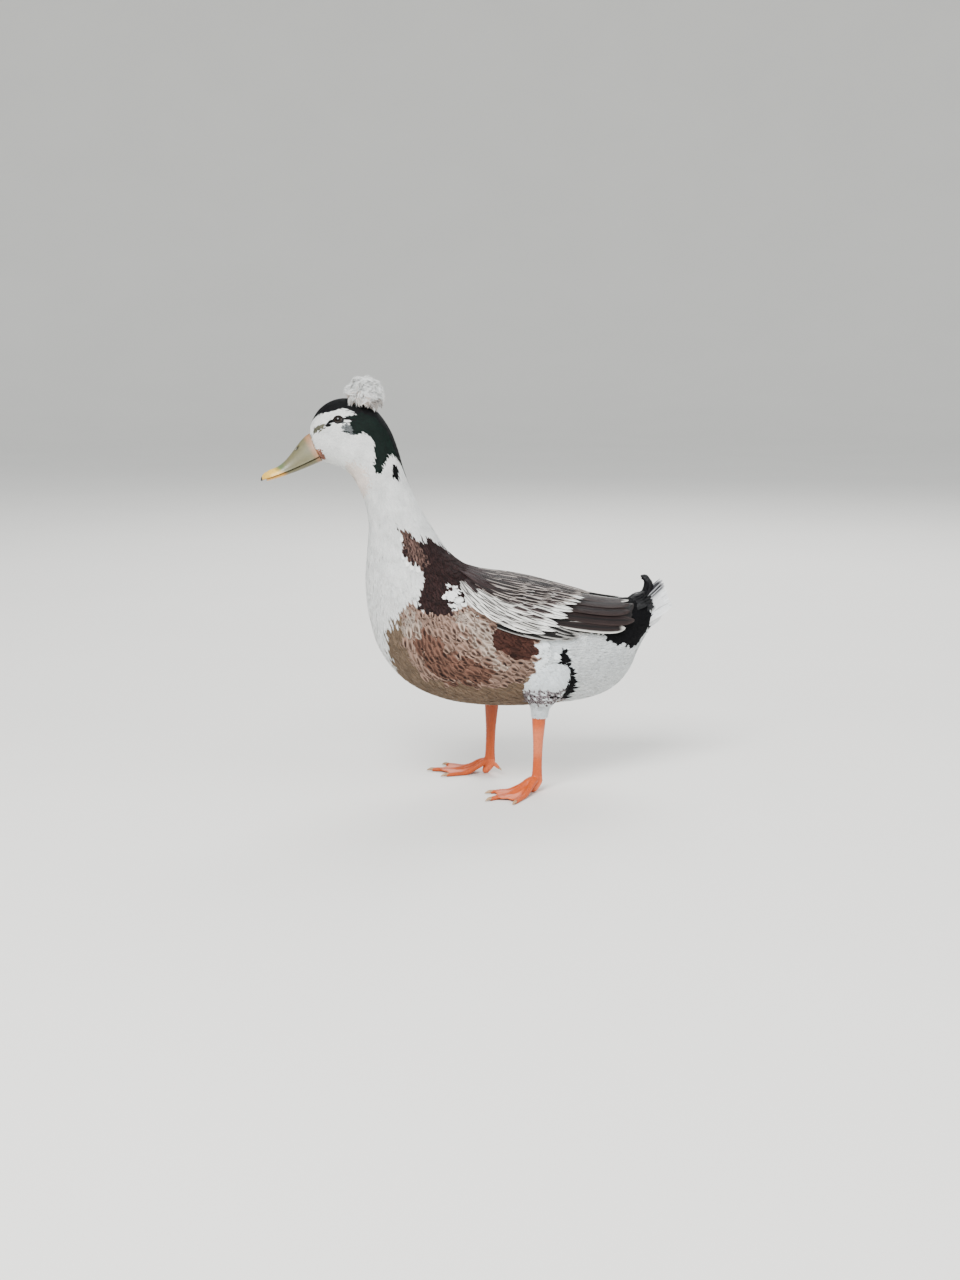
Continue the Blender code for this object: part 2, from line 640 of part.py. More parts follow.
def make_foot(name):
    """Webbed foot: three toes with claws, two webs and the small hind toe."""
    root, ahead, inward = leg_place(name)
    pieces, paths = [], []
    for toe in TOES:
        points, radii, way = toe_path(root, ahead, inward, toe)
        paths.append(points)
        pieces.append(tube(points, radii, 6, points[-1] + way * toe.tip * 0.9))
        claw = [points[-1] - way * 2.5 + Vector((0, 0, 0.4)), points[-1] + way * CLAW_LENGTH * 0.35
                + Vector((0, 0, 0.5))]
        pieces.append(tube(claw, (1.9, 1.5), 5, points[-1] + way * CLAW_LENGTH + Vector((0, 0, -0.9))))
    for inner, outer in zip(paths, paths[1:]):
        pieces.append(web(inner, outer))
    start = root - ahead * 3.0 + inward * 2.5 + Vector((0, 0, HIND_TOE_HEIGHT))
    angle = math.radians(HIND_TOE.turn)
    way = ahead * math.cos(angle) + inward * math.sin(angle)
    hind = [start, start + way * 6.5 + Vector((0, 0, -2.0)), start + way * HIND_TOE.length + Vector((0, 0, -4.5))]
    pieces.append(tube(hind, (HIND_TOE.root, 2.2, HIND_TOE.tip), 6, hind[-1] + way * 4.0 + Vector((0, 0, -1.8))))
    ankle = leg_rings(name, ANKLE_SECTIONS)
    ankle[-1] = [p - Vector((0, 0, GAP / 2)) for p in ankle[-1]]
    foot = new_object("foot_" + name, loft(ankle), "orange_skin")
    join(foot, pieces)
    bm = bmesh.new()
    bm.from_mesh(foot.data)
    cut = bmesh.ops.bisect_plane(bm, geom=bm.verts[:] + bm.edges[:] + bm.faces[:], plane_co=(0, 0, 0),
                                 plane_no=(0, 0, 1), clear_inner=True, dist=1e-7)
    rim = [e for e in cut["geom_cut"] if isinstance(e, bmesh.types.BMEdge)]
    bmesh.ops.holes_fill(bm, edges=rim)
    bmesh.ops.triangulate(bm, faces=bm.faces)
    bmesh.ops.recalc_face_normals(bm, faces=bm.faces)
    bm.to_mesh(foot.data)
    bm.free()
    return foot


def web(inner, outer):
    """Skin between two toes, as a bmesh, with a scalloped front edge."""
    rows, columns = 4, 3
    layers = []
    for lift in (WEB_THICK / 2, -WEB_THICK / 2):
        grid = []
        for i in range(rows + 1):
            row = []
            for k in range(columns + 1):
                across = k / columns
                reach = i / rows * (WEB_REACH - WEB_SCALLOP * math.sin(math.pi * across)) * (len(inner) - 1)
                j = min(len(inner) - 2, int(reach))
                near, far = inner[j].lerp(inner[j + 1], reach - j), outer[j].lerp(outer[j + 1], reach - j)
                point = near.lerp(far, across)
                point.z = max(WEB_THICK / 2 + 0.5, point.z * (0.92 - 0.12 * math.sin(math.pi * across))) + lift
                row.append(point)
            grid.append(row)
        layers.append(grid)
    return plate(*layers)


def plate(top, bottom):
    """Closed bmesh between two grids of the same size, cut into triangles alike on both."""
    bm = bmesh.new()
    upper = [[bm.verts.new(p) for p in row] for row in top]
    lower = [[bm.verts.new(p) for p in row] for row in bottom]
    rows, columns = len(top), len(top[0])
    for i in range(rows - 1):
        for k in range(columns - 1):
            for grid in (upper, lower):
                bm.faces.new((grid[i][k], grid[i][k + 1], grid[i + 1][k + 1]))
                bm.faces.new((grid[i][k], grid[i + 1][k + 1], grid[i + 1][k]))
    rim = [(0, k) for k in range(columns)] + [(i, columns - 1) for i in range(1, rows)]
    rim += [(rows - 1, k) for k in range(columns - 2, -1, -1)] + [(i, 0) for i in range(rows - 2, 0, -1)]
    for (i, k), (m, n) in zip(rim, rim[1:] + rim[:1]):
        bm.faces.new((upper[i][k], lower[i][k], lower[m][n]))
        bm.faces.new((upper[i][k], lower[m][n], upper[m][n]))
    return bm


def make_shank(name):
    """Bare leg between the feathered thigh and the foot."""
    rings = leg_rings(name, SHANK_SECTIONS)
    rings[0] = [p + Vector((0, 0, GAP / 2)) for p in rings[0]]
    rings[-1] = [p - Vector((0, 0, GAP / 2)) for p in rings[-1]]
    return new_object("shank_" + name, loft(rings), "orange_skin")


def make_thigh(name, body):
    """Feathered thigh, from the flank down to the hock."""
    side = SIDES[name]
    root, ahead, inward = leg_place(name)
    base = root - ahead * HOCK_BACK
    rings = []
    for height, back, out, depth, width in THIGH_SECTIONS:
        middle = Vector((base.x + back, base.y + side * out, height))
        turns = [2 * math.pi * k / 16 for k in range(16)]
        rings.append([middle + Vector((depth * math.cos(a), width * math.sin(a), 0)) for a in turns])
    rings[0] = [p + Vector((0, 0, GAP / 2)) for p in rings[0]]
    thigh = new_object("thigh_" + name, loft(rings), "white_plumage")
    clear_of(thigh, body)
    return thigh


def curve_through(values, share):
    """Smooth value at a share of the way through evenly spaced values."""
    last = len(values) - 1
    at = min(max(share, 0.0), 1.0) * last
    i = min(last - 1, int(at))
    near = [values[min(last, max(0, k))] for k in (i - 1, i, i + 1, i + 2)]
    return catmull(*near, at - i)


def wing_point(a, b, lift, side):
    """Point over the body at shares a along and b across the folded wing."""
    s = WING_FRONT + (WING_REAR - WING_FRONT) * a
    top, low = curve_through(WING_TOP, a), curve_through(WING_LOW, a)
    angle = -side * math.radians(top + (low - top) * b)
    return body_point(s, angle) + body_normal(s, angle) * lift


def laid_vane(root, tip, tier, side):
    """Feather laid over the body from root to tip, each (station, degrees from the back), as a bmesh."""
    points, normals = [], []
    for t, _ in tier.outline:
        s = root[0] + (tip[0] - root[0]) * t
        angle = -side * math.radians(root[1] + (tip[1] - root[1]) * t)
        normal = body_normal(s, angle)
        lift = tier.root_lift + (tier.tip_lift - tier.root_lift) * t
        points.append(body_point(s, angle) + normal * lift)
        normals.append(normal)
    widths = [tier.half_width * w for _, w in tier.outline]
    sag = -tier.half_width / (2 * FLAT_RADIUS)
    return blade(points, normals, widths, VANE_THICK, -side * VANE_TILT, VANE_CAMBER - sag, tier.strips)


def between(first, last, share):
    """Point a share of the way from first to last."""
    return tuple(a + (b - a) * share for a, b in zip(first, last))


def make_wing(name, body, thigh):
    """Folded wing laid over the side of the body: a thin core and tiers of overlapping feathers."""
    side = SIDES[name]
    rows, columns = 10, 5
    top, bottom = [], []
    for i in range(rows + 1):
        a = i / rows
        lift = curve_through(WING_LIFT, a)
        swell = [math.sqrt(math.sin(math.pi * (0.03 + 0.94 * k / columns))) for k in range(columns + 1)]
        top.append([wing_point(a, k / columns, 1.0 + lift * swell[k], side) for k in range(columns + 1)])
        bottom.append([wing_point(a, k / columns, -1.5, side) for k in range(columns + 1)])
    wing = new_object("wing_" + name, plate(top, bottom), "brown_plumage")
    feathers = []
    for tier in WING_TIERS:
        for i in range(tier.count):
            share = i / (tier.count - 1)
            root, tip = (between(tier.first[end], tier.last[end], share) for end in (0, 1))
            feathers.append(laid_vane(root, tip, tier, side))
    join(wing, feathers)
    clear_of(wing, body, thigh)
    return wing


def make_tail():
    """Rump, tail feathers in a roofed fan, their coverts and the curled feathers of a drake."""
    steps = [BODY_END + (RUMP_END - BODY_END) * i / 6 for i in range(7)]
    rings = [body_ring(s, shift=GAP / 2 if i == 0 else 0.0) for i, s in enumerate(steps)]
    tail = new_object("tail", loft(rings), "black_plumage")
    feathers = []
    for side in SIDES.values():
        for fan in TAIL_FANS:
            for i in range(fan.count):
                share = i / (fan.count - 1)
                root, tip = (Vector(between(fan.inner[end], fan.outer[end], share)) for end in (0, 1))
                root.y, tip.y = root.y * side, tip.y * side
                slope = math.radians(fan.slopes[0] + (fan.slopes[1] - fan.slopes[0]) * share)
                ahead = (tip - root).normalized()
                over = Vector((-ahead.z, 0, ahead.x)).normalized()
                face = over * math.cos(slope) + Vector((0, side, 0)) * math.sin(slope)
                points = [root.lerp(tip, t) + over * 2.0 * math.sin(math.pi * t) for t, _ in fan.outline]
                widths = [fan.half_width * w for _, w in fan.outline]
                feathers.append(blade(points, [face] * len(points), widths, VANE_THICK + 0.2,
                                      side * VANE_TILT * math.copysign(1.0, math.cos(slope)), VANE_CAMBER,
                                      fan.strips))
        for y, back, size in CURLS:
            low = Vector((CURL_PATH[0][0], 0, CURL_PATH[0][1]))
            points = [low + (Vector((x, 0, z)) - low) * size + Vector((back, side * y, 0)) for x, z in CURL_PATH]
            ends = list(zip(points[:1] + points, points[1:] + points[-1:]))
            normals = [(after - before).cross(Vector((0, 1, 0))) for before, after in ends]
            feathers.append(blade(points, normals, CURL_HALF_WIDTHS, CURL_THICK, columns=1))
    join(tail, feathers)
    return tail


def make_paints():
    """One material for each finish."""
    for name, paint in PAINTS.items():
        material = bpy.data.materials.new(name)
        material.use_nodes = True
        shader = material.node_tree.nodes["Principled BSDF"]
        shader.inputs["Base Color"].default_value = (*paint.colour, 1.0)
        shader.inputs["Roughness"].default_value = paint.roughness
        shader.inputs["Metallic"].default_value = 0.0


for old in list(bpy.data.objects):
    bpy.data.objects.remove(old)
bird = bpy.data.collections.new("crested_duck")
bpy.context.scene.collection.children.link(bird)
make_paints()
head, eyes = make_head()
make_bill()
make_crest(head)
make_body_part("neck", HEAD_END, NECK_END, "white_plumage", 7)
torso = make_body_part("torso", NECK_END, BODY_END, "brown_plumage", 16)
make_tail()
for leg_name in SIDES:
    make_foot(leg_name)
    make_shank(leg_name)
    thigh = make_thigh(leg_name, torso)
    make_wing(leg_name, torso, thigh)
for made in bird.objects:
    made.data.transform(Matrix.Translation((CENTRE[0] * MM, CENTRE[1] * MM, 0)))
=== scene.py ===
"""A crested duck drake that stands still, at life size, dressed in its plumage.

Shapes are worked out in millimetres on the bird's own lengthwise stations and turns from the back,
and are moved and turned to metres where a mesh is made.
"""

import math
from collections import namedtuple
from functools import partial

import bpy
import numpy as np
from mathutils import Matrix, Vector
from mathutils.kdtree import KDTree


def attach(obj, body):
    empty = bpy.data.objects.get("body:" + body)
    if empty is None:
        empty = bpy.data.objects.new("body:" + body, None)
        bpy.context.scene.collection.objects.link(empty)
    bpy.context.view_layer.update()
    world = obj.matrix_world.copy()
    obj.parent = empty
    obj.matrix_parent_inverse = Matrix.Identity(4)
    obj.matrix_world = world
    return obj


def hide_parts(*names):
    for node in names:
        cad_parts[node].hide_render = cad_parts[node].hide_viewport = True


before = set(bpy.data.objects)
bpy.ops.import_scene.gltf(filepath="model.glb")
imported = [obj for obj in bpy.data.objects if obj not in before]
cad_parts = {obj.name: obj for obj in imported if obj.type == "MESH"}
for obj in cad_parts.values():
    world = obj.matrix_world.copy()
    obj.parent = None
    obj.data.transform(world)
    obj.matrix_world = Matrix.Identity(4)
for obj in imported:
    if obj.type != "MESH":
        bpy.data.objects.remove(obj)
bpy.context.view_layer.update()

bl_info = {
    "name": "Crested duck",
    "version": (1, 0, 0),
    "blender": (4, 5, 0),
    "location": "View3D > Sidebar > Duck",
    "description": "Dresses the solids of a standing crested duck in skin, plumage, bill, eyes and legs",
    "category": "Object",
}

MM = 0.001
CENTRE = np.array((34.37, -3.75, 0.0))
SIDES = {"left": -1, "right": 1}
SIDEWAYS, UPWARDS = np.array((0.0, 1.0, 0.0)), np.array((0.0, 0.0, 1.0))

# Profile of head, neck and body, in millimetres from bill to tail: back x, back z, underside x, underside z,
# half width, and how far the widest level sags.
STATIONS = np.array((
    (-197, 361.5, -184, 333, 12.5, 0), (-193.5, 373.5, -180, 331.5, 15.5, 0.1),
    (-186, 384.5, -174, 330, 18.5, 0.18), (-174.5, 392, -168, 328, 20.5, 0.22),
    (-161, 394.5, -162, 325, 21.5, 0.24), (-145, 391.5, -157, 320.5, 21.5, 0.2),
    (-130, 381.5, -153, 315, 20.5, 0.12), (-117.5, 363.5, -149.5, 308.5, 19, 0.05),
    (-110, 344, -146, 300.5, 18, 0), (-104.5, 324.5, -142.5, 291.5, 18.5, 0),
    (-97.5, 306, -140.5, 280.5, 20.5, 0), (-89, 288, -139.5, 267.5, 24, 0),
    (-76, 266.5, -140.5, 251.5, 30, 0.02), (-61.5, 245, -142, 232.5, 38, 0.05),
    (-46.5, 232, -142.5, 209, 46.5, 0.06), (-31.5, 224.5, -139, 178.5, 54.5, 0.06),
    (-16, 220.5, -128.5, 144, 60.5, 0.05), (1, 218, -104.5, 113.5, 64.5, 0.03),
    (20.5, 214, -70, 94.5, 66.5, 0), (42.5, 208, -31.5, 85.5, 66, -0.03),
    (65, 201, 10, 82, 62.5, -0.06), (87, 194.5, 49, 82, 56.5, -0.08),
    (106.5, 190, 83, 84.5, 48.5, -0.08), (123, 187.5, 109, 92, 40, -0.05),
    (136, 187, 125.5, 105.5, 31.5, 0), (144, 187, 134.5, 123, 25.5, 0),
    (151.5, 188.5, 145.5, 141, 20, 0), (157, 190.5, 155, 158, 14, 0),
    (161, 193, 161.5, 174, 7.5, 0),
))
HEAD_END, NECK_END, RUMP_END = 8, 13, 28
BREAST_END, BACK_END = 16.2, 22.4
HEAD_TURN = -16
NECK_AXIS = (-121.7, 0)

# How far the skin lies under the outer shape of the coat, and how far apart feathers stand, by station.
COAT_STATIONS = (0, 3, 6, 8, 10, 13, 15, 18, 21, 24, 28)
COAT_DEPTHS = (0.6, 0.7, 0.9, 1.1, 1.5, 2.2, 2.9, 3.4, 3.2, 2.6, 1.8)
COAT_PITCHES = (1.25, 1.35, 1.5, 1.8, 2.5, 3.3, 4, 4.5, 4.3, 3.7, 2.8)

# Folded wing.
WING_FRONT, WING_REAR = 14.5, 22.2
WING_TOP = (34, 22, 15, 12, 11, 12, 20)
WING_LOW = (52, 68, 72, 75, 77, 70, 50)
WING_LIFT = (0.6, 4.2, 5.4, 5.2, 4.2, 2.8, 1)

# Bill.
BILL_ROOT, BILL_TIP, BILL_SAG, BILL_LENGTH = (-186.5, 338.5), (-243.5, 314.8), 1.5, 61
CULMEN_HEIGHT, CULMEN_FLAT = 24, 7
BILL_HALF_WIDTH, BILL_WAIST, BILL_SPOON, SPOON_START = 12.3, 10.6, 12.4, 0.8
KEEL_DEPTH, LOWER_BILL_REACH = 5.2, 0.94
NOSTRIL_AT, NOSTRIL_HEIGHT, NOSTRIL_SIZE = 0.28, 0.9, (3.6, 1.3)
NAIL_AT, NAIL_SIZE = 0.955, (4.6, 3.9, 2.3)

# Eyes and lids.
EYE_AT, EYE_RADIUS, EYE_BULGE = (-167.2, 375), 5.4, 1.7
LID_REACH, LID_MARGIN = (4.05, 3.3), 0.3

# Crest.
CREST_AT, CREST_CORE, CREST_REACH = (-143, 397), 8, 21.5

# Legs: how far back each one stands, how many degrees its foot turns outwards and its toes swing further.
LEG_PLACES = {"left": (21, 14, -9), "right": (-3.5, 24, 0)}
STANCE, HOCK_HEIGHT, HOCK_BACK = 43, 77, 2.5
LEG_SECTIONS = (
    # height, half depth, half width
    (0, 1.6, 1.8), (0.8, 2.9, 3.1), (2.5, 4.2, 4.2), (5, 5.1, 4.8), (9, 5.9, 5.3), (13, 5.9, 5.2),
    (18, 5.4, 4.7), (25, 5, 4.2), (36, 4.9, 4),
    (50, 5.3, 4.4), (61, 6.2, 5.2), (70, 7, 6), (77, 7.3, 6.4), (84, 7, 6.2),
)
# Toes: turn, length, root and tip radius.
TOES = ((27, 47, 3.5, 2.1), (0, 60, 3.8, 2.3), (-27, 55, 3.6, 2.1))
HIND_TOE, HIND_TOE_HEIGHT, HIND_TOE_DROP = (140, 11.5, 2.6, 1.6), 12.5, 4.5
CLAW_LENGTH, TOE_RISE, TOE_DROP_END = 7, 10.5, 0.62
WEB_THICK, WEB_REACH, WEB_SCALLOP = 1.5, 0.97, 0.1
# Scutes in front of the shank and on the toes, and the creases between scales.
SCUTE_HEIGHT, TOE_SCUTE, CREASE_DEPTH, CREASE_WIDTH = 4.4, 3, 0.26, 0.42
THIGH_TOP, THIGH_LENGTH = 150.0, 72.0
THIGH_SECTIONS = (
    # height, shift back, shift out, half depth, half width
    (77, 0.5, 0, 8.4, 7.6), (85, 1, 0.5, 9.6, 8.8), (91, 2, 1.5, 13, 12),
    (98, 3.5, 3, 20, 16.5), (112, 5, 4, 26.5, 19.5), (130, 5.5, 3, 27, 18),
    (150, 5, -4, 20, 12),
)

# Looks of feathers: ground, fringe and spot colour, shares of fringe, spot and shaft streak, spread of shade.
Look = namedtuple("Look", "ground fringe spot marks spread")
LOOKS = {
    "white": Look("#eff0ed", "#fbfbf8", "#d9d9d4", (0.4, 0, 0.15), 0.03),
    "blush": Look("#e9dbd0", "#f4eee8", "#cbbdb2", (0.4, 0, 0.15), 0.04),
    "cap": Look("#030406", "#090a0e", "#010102", (0.2, 0, 0.2), 0.2),
    "green": Look("#03120d", "#072119", "#020705", (0.25, 0, 0.2), 0.25),
    "smoke": Look("#5c6061", "#a9acad", "#26282a", (0.3, 0.6, 0.3), 0.3),
    "lore": Look("#605e4e", "#9a9888", "#26281f", (0.25, 0.5, 0.3), 0.28),
    "ink": Look("#040405", "#0b0b0c", "#020202", (0.15, 0, 0.2), 0.15),
    "gape": Look("#96614e", "#cdafa1", "#1f1110", (0.3, 0.9, 0.2), 0.35),
    "maroon": Look("#251717", "#42302c", "#0d0808", (0.3, 0.6, 0.4), 0.3),
    "russet": Look("#55403a", "#806a60", "#1a100e", (0.3, 1, 0.4), 0.28),
    "flank": Look("#8a6f61", "#ac9587", "#1b110f", (0.35, 1, 0.2), 0.12),
    "frosted": Look("#a08e80", "#c9bdb2", "#33241f", (0.45, 0.95, 0.2), 0.12),
    "rusty": Look("#64463a", "#87695b", "#190e0c", (0.35, 1, 0.2), 0.14),
    "chestnut": Look("#38201a", "#573a31", "#170b09", (0.3, 0.2, 0.4), 0.18),
    "belly": Look("#6a5847", "#8b7a69", "#3d3028", (0.4, 0.35, 0.3), 0.13),
    "vent": Look("#d6dada", "#f3f5f4", "#9a9fa0", (0.45, 0, 0.45), 0.06),
    "thigh": Look("#e3eaec", "#f7f9f9", "#bcc4c7", (0.4, 0, 0.25), 0.03),
    "streaked": Look("#6f6265", "#d5d0d1", "#0f090c", (0.5, 0.3, 1), 0.3),
    "mantle": Look("#433733", "#8a7e73", "#161110", (0.4, 0.5, 0.6), 0.22),
    "black": Look("#040406", "#0c0c11", "#020202", (0.2, 0, 0.2), 0.2),
}

# Where each look lies: how ragged its edge is, and its outline as (station, degrees from the back).
# A later region lies over the ones before it.
Region = namedtuple("Region", "look ragged outline")
REGIONS = (
    Region("belly", (0.18, 4), ((14.9, 120), (16, 118), (17, 120), (18.4, 118), (19.3, 112), (20.3, 124),
        (20.9, 145), (21.3, 182), (17, 182), (16.2, 166), (15.4, 148))),
    Region("vent", (0.1, 3), ((19.95, 76), (21, 70), (23.5, 84), (25, 95), (28.5, 100), (28.5, 182),
        (21.3, 182), (21, 150), (20.6, 128), (20.2, 100))),
    Region("maroon", (0.15, 3), ((13.15, -25), (13.1, 17), (14.1, 24), (14.8, 38), (17.6, 38),
        (17.6, -25))),
    Region("mantle", (0.15, 3), ((15.1, -25), (14.9, 26), (15.6, 52), (16.5, 60), (20.9, 60), (20.9, -25))),
    Region("flank", (0.12, 4), ((14.8, 121), (14.8, 108), (15.35, 98), (15.75, 82), (15.8, 68), (16.4, 66),
        (17.8, 68), (18.8, 72), (19.35, 90), (19.6, 108), (19.3, 122), (18.4, 131), (17.65, 137),
        (17.2, 140), (16.75, 142), (16, 135), (15.45, 129))),
    Region("frosted", (0.12, 4), ((14.8, 121), (14.9, 112), (15.5, 110), (15.9, 124), (15.5, 130))),
    Region("frosted", (0.1, 3), ((15.8, 84), (16, 74), (17.2, 72), (18.2, 96), (18.6, 108), (17.6, 98),
        (16.6, 88))),
    Region("rusty", (0.16, 4), ((15.9, 108), (17.6, 106), (18.6, 116), (18.2, 130), (17, 134),
        (16.1, 126))),
    Region("maroon", (0.1, 3.5), ((11.4, 94), (11.85, 84), (12.2, 70), (12.35, 44), (12.65, 30), (13.1, 12),
        (14.2, 15), (14.9, 24), (15.6, 50), (15.6, 68), (15.75, 82), (15.7, 93), (15.35, 98), (14.95, 102),
        (14.8, 108), (14.5, 96), (14.05, 88), (13.35, 82), (13, 93), (12.4, 100), (12, 95))),
    Region("russet", (0.12, 4), ((11.3, 96), (11.8, 82), (12.3, 72), (13.2, 70), (13.4, 82), (13, 94),
        (12.4, 101), (12, 96))),
    Region("chestnut", (0.06, 1.5), ((17.35, 78), (17.8, 66), (18.7, 70), (19.15, 83), (19.4, 93),
        (18.95, 98), (18.2, 94), (17.6, 88))),
    Region("white", (0.14, 4), ((14.65, 66), (15.05, 62), (15.75, 68), (15.6, 80), (15, 77))),
    Region("thigh", (0.05, 1.5), ((19.25, 90), (19, 76), (20.3, 78), (20.35, 95), (20.75, 129), (19.5, 127),
        (19.55, 108))),
    Region("streaked", (0.1, 3), ((19.8, 127), (20.4, 124), (20.9, 131), (21.4, 156), (19.95, 150))),
    Region("black", (0.1, 2.5), ((20.8, 58), (22.15, 62), (24, 62), (28.5, 62), (28.5, 112), (25.5, 108),
        (24, 97), (22.9, 86), (21.9, 78), (21.15, 69))),
    Region("black", (0.1, 3), ((20.5, -25), (20.5, 34), (20.8, 62), (24, 66), (28.5, 70), (28.5, -25))),
    Region("black", (0.03, 0.9), ((20, 87), (20.15, 86), (20.52, 100), (20.88, 113), (21.24, 128),
        (21.25, 150), (20.8, 150), (20.6, 130), (20.3, 108), (20.1, 97))),
    Region("blush", (0.3, 8), ((4.2, 128), (6.8, 112), (8, 118), (8.4, 150), (8.2, 182), (4.6, 182))),
    Region("gape", (0.08, 3), ((0, 101), (1.2, 105), (1.05, 113), (1.4, 124), (1, 142), (0.5, 142),
        (0, 112))),
    Region("cap", (0.05, 1), ((0.75, -25), (0.75, 8), (1.4, 22), (2.05, 31), (2.85, 39), (3.5, 38),
        (3.9, 36), (4.4, 38), (4.8, 43), (4.9, 47), (8.1, 30), (8.8, 12), (9.8, 3), (10.2, -25))),
    Region("green", (0.05, 1.2), ((4.45, 47), (3.95, 50), (4.5, 53), (4.55, 59), (4.1, 64), (3.85, 70),
        (4.15, 72), (4.85, 74), (5.35, 69), (5.75, 64), (6.1, 64), (6.45, 66), (6.75, 74), (7.15, 83),
        (7.35, 94), (7.85, 97), (8.05, 87), (7.95, 75), (7.85, 62), (7.8, 52), (7.95, 39), (8.3, 26),
        (7, 24), (5.6, 34))),
    Region("smoke", (0.08, 2), ((3.75, 64), (4.2, 60), (4.6, 60), (4.85, 73), (4.15, 72), (3.85, 70))),
    Region("lore", (0.1, 2), ((0.8, 44), (1.55, 50), (2.3, 55), (2.2, 63), (1.4, 63), (0.8, 56))),
    Region("ink", (0.03, 0.8), ((2.2, 61), (2.4, 56), (2.75, 53), (3.1, 53), (3, 60), (2.55, 64))),
    Region("ink", (0.03, 0.8), ((3.85, 51), (4.5, 50), (4.9, 49), (4.9, 53), (4.3, 54), (3.95, 54))),
    Region("ink", (0.05, 1.5), ((8.35, 50), (8.45, 40), (8.75, 38), (9.15, 42), (9.2, 52), (8.9, 59),
        (8.55, 57))),
)
WING_COVER = ((15.3, 46), (16.1, 60), (17.5, 64), (19.2, 69), (20.6, 66), (21.6, 58), (22.3, 46), (22.3, 38),
              (21, 31), (18, 29), (16, 35))

# A tier of wing feathers: how many, root and tip of the lowest and the highest one as (station, degrees from
# the back), half width, lift of root and tip over the body, and looks of the lowest and the highest ones.
Tier = namedtuple("Tier", "count first last half_width lifts looks")
QUILL = Look("#0e0b0c", "#3b3431", "#060505", (0.35, 0, 0.4), 0.12)
SECONDARY = Look("#0b0909", "#4a4541", "#050404", (0.3, 0, 0.5), 0.12)
EDGED = Look("#0b0909", "#d9d7d2", "#050404", (0.55, 0, 0.5), 0.12)
TERTIAL = Look("#1f1413", "#41322e", "#0e0909", (0.35, 0, 0.6), 0.1)
EDGED_TERTIAL = Look("#1f1413", "#e4e1da", "#0e0909", (0.95, 0, 0.6), 0.08)
ZIGZAG = Look("#efeeea", "#fbfbf8", "#171111", (0.5, 0, 0.55), 0.05)
MAUVE = Look("#413635", "#e8e3de", "#130e0e", (0.9, 0, 0.85), 0.3)
LACED = Look("#d8d5cf", "#f7f7f3", "#161010", (0.55, 0.6, 1), 0.14)
SCAPULAR = Look("#281f1e", "#cdc3bb", "#0a0707", (0.75, 0.2, 0.9), 0.35)
FLIGHTS = (
    Tier(6, ((20.8, 62), (23.4, 45)), ((20.6, 50), (23.8, 28)), 4.6, (1, 1.8), (QUILL, QUILL)),
    Tier(13, ((17.6, 73.5), (19.6, 79.5)), ((19.2, 50), (21.4, 67)), 4.2, (1.6, 2.4), (EDGED, SECONDARY)),
    Tier(2, ((19.3, 64), (22.6, 65)), ((19.2, 55), (23.45, 57)), 6.4, (2.4, 4), (EDGED_TERTIAL, TERTIAL)),
    Tier(2, ((19.1, 47), (23, 44)), ((19, 38), (23.2, 33)), 6.8, (2.7, 4.6), (TERTIAL, TERTIAL)),
    Tier(2, ((18.9, 31), (22.6, 27)), ((18.8, 24), (23.45, 20)), 6.2, (3, 5), (TERTIAL, EDGED_TERTIAL)),
)
COVERTS = (
    Tier(19, ((17.8, 70.5), (19.15, 75.5)), ((18.8, 30), (20.3, 33)), 2.7, (3.2, 5.4), (ZIGZAG, ZIGZAG)),
    Tier(20, ((17.2, 69), (18.65, 74.5)), ((18.2, 31), (19.7, 34)), 2.7, (3.5, 5.8), (LACED, MAUVE)),
    Tier(20, ((16.6, 67), (18.05, 73)), ((17.6, 32), (19.1, 36)), 2.7, (3.6, 6), (LACED, MAUVE)),
    Tier(20, ((16, 65), (17.4, 71.5)), ((17, 33), (18.5, 38)), 2.7, (3.2, 5.9), (LACED, MAUVE)),
    Tier(19, ((15.5, 63), (16.8, 70)), ((16.4, 34), (17.8, 40)), 2.6, (2.4, 5.6), (LACED, SCAPULAR)),
    Tier(17, ((15.1, 60), (16.3, 67)), ((15.8, 36), (17.1, 42)), 2.5, (1.4, 4.8), (LACED, SCAPULAR)),
    Tier(14, ((14.8, 56), (15.8, 62)), ((15.2, 38), (16.4, 43)), 2.4, (0.4, 3.4), (LACED, LOOKS["maroon"])),
)
SCAPULARS = (
    Tier(16, ((17.3, 44), (19.7, 45)), ((17.9, 5), (21, 4)), 3.4, (3.8, 5.8), (SCAPULAR, SCAPULAR)),
    Tier(17, ((16.3, 46), (18.7, 49)), ((17, 6), (19.7, 4)), 3.2, (3.6, 6.2), (SCAPULAR, SCAPULAR)),
    Tier(17, ((15.4, 46), (17.7, 50)), ((16, 6), (18.6, 5)), 3.1, (2.6, 6.2), (SCAPULAR, SCAPULAR)),
    Tier(16, ((14.7, 43), (16.7, 48)), ((15.1, 7), (17.4, 5)), 3, (1, 5.2), (LOOKS["maroon"], SCAPULAR)),
    Tier(13, ((14.4, 38), (15.9, 42)), ((14.5, 8), (16.3, 6)), 3, (0.3, 3.4),
        (LOOKS["maroon"], LOOKS["maroon"])),
)
# How much of each region's raggedness shows, the darkest and the palest shade of a feather, and how far out
# on it the place lies that gives it its look.
RAGGEDNESS, SHADES, LOOK_SHARE = 0.7, (0.45, 1.5), 0.75
# How far a vane leans over its neighbour, and half the width of its patch on the bake map.
VANE_TILT, BAKE_PATCH = 0.13, 0.0015
# How high barbs stand, and how deep light goes into a feather, in millimetres.
BARB_HEIGHT, SOFT_DEPTH = 0.2, 1.5

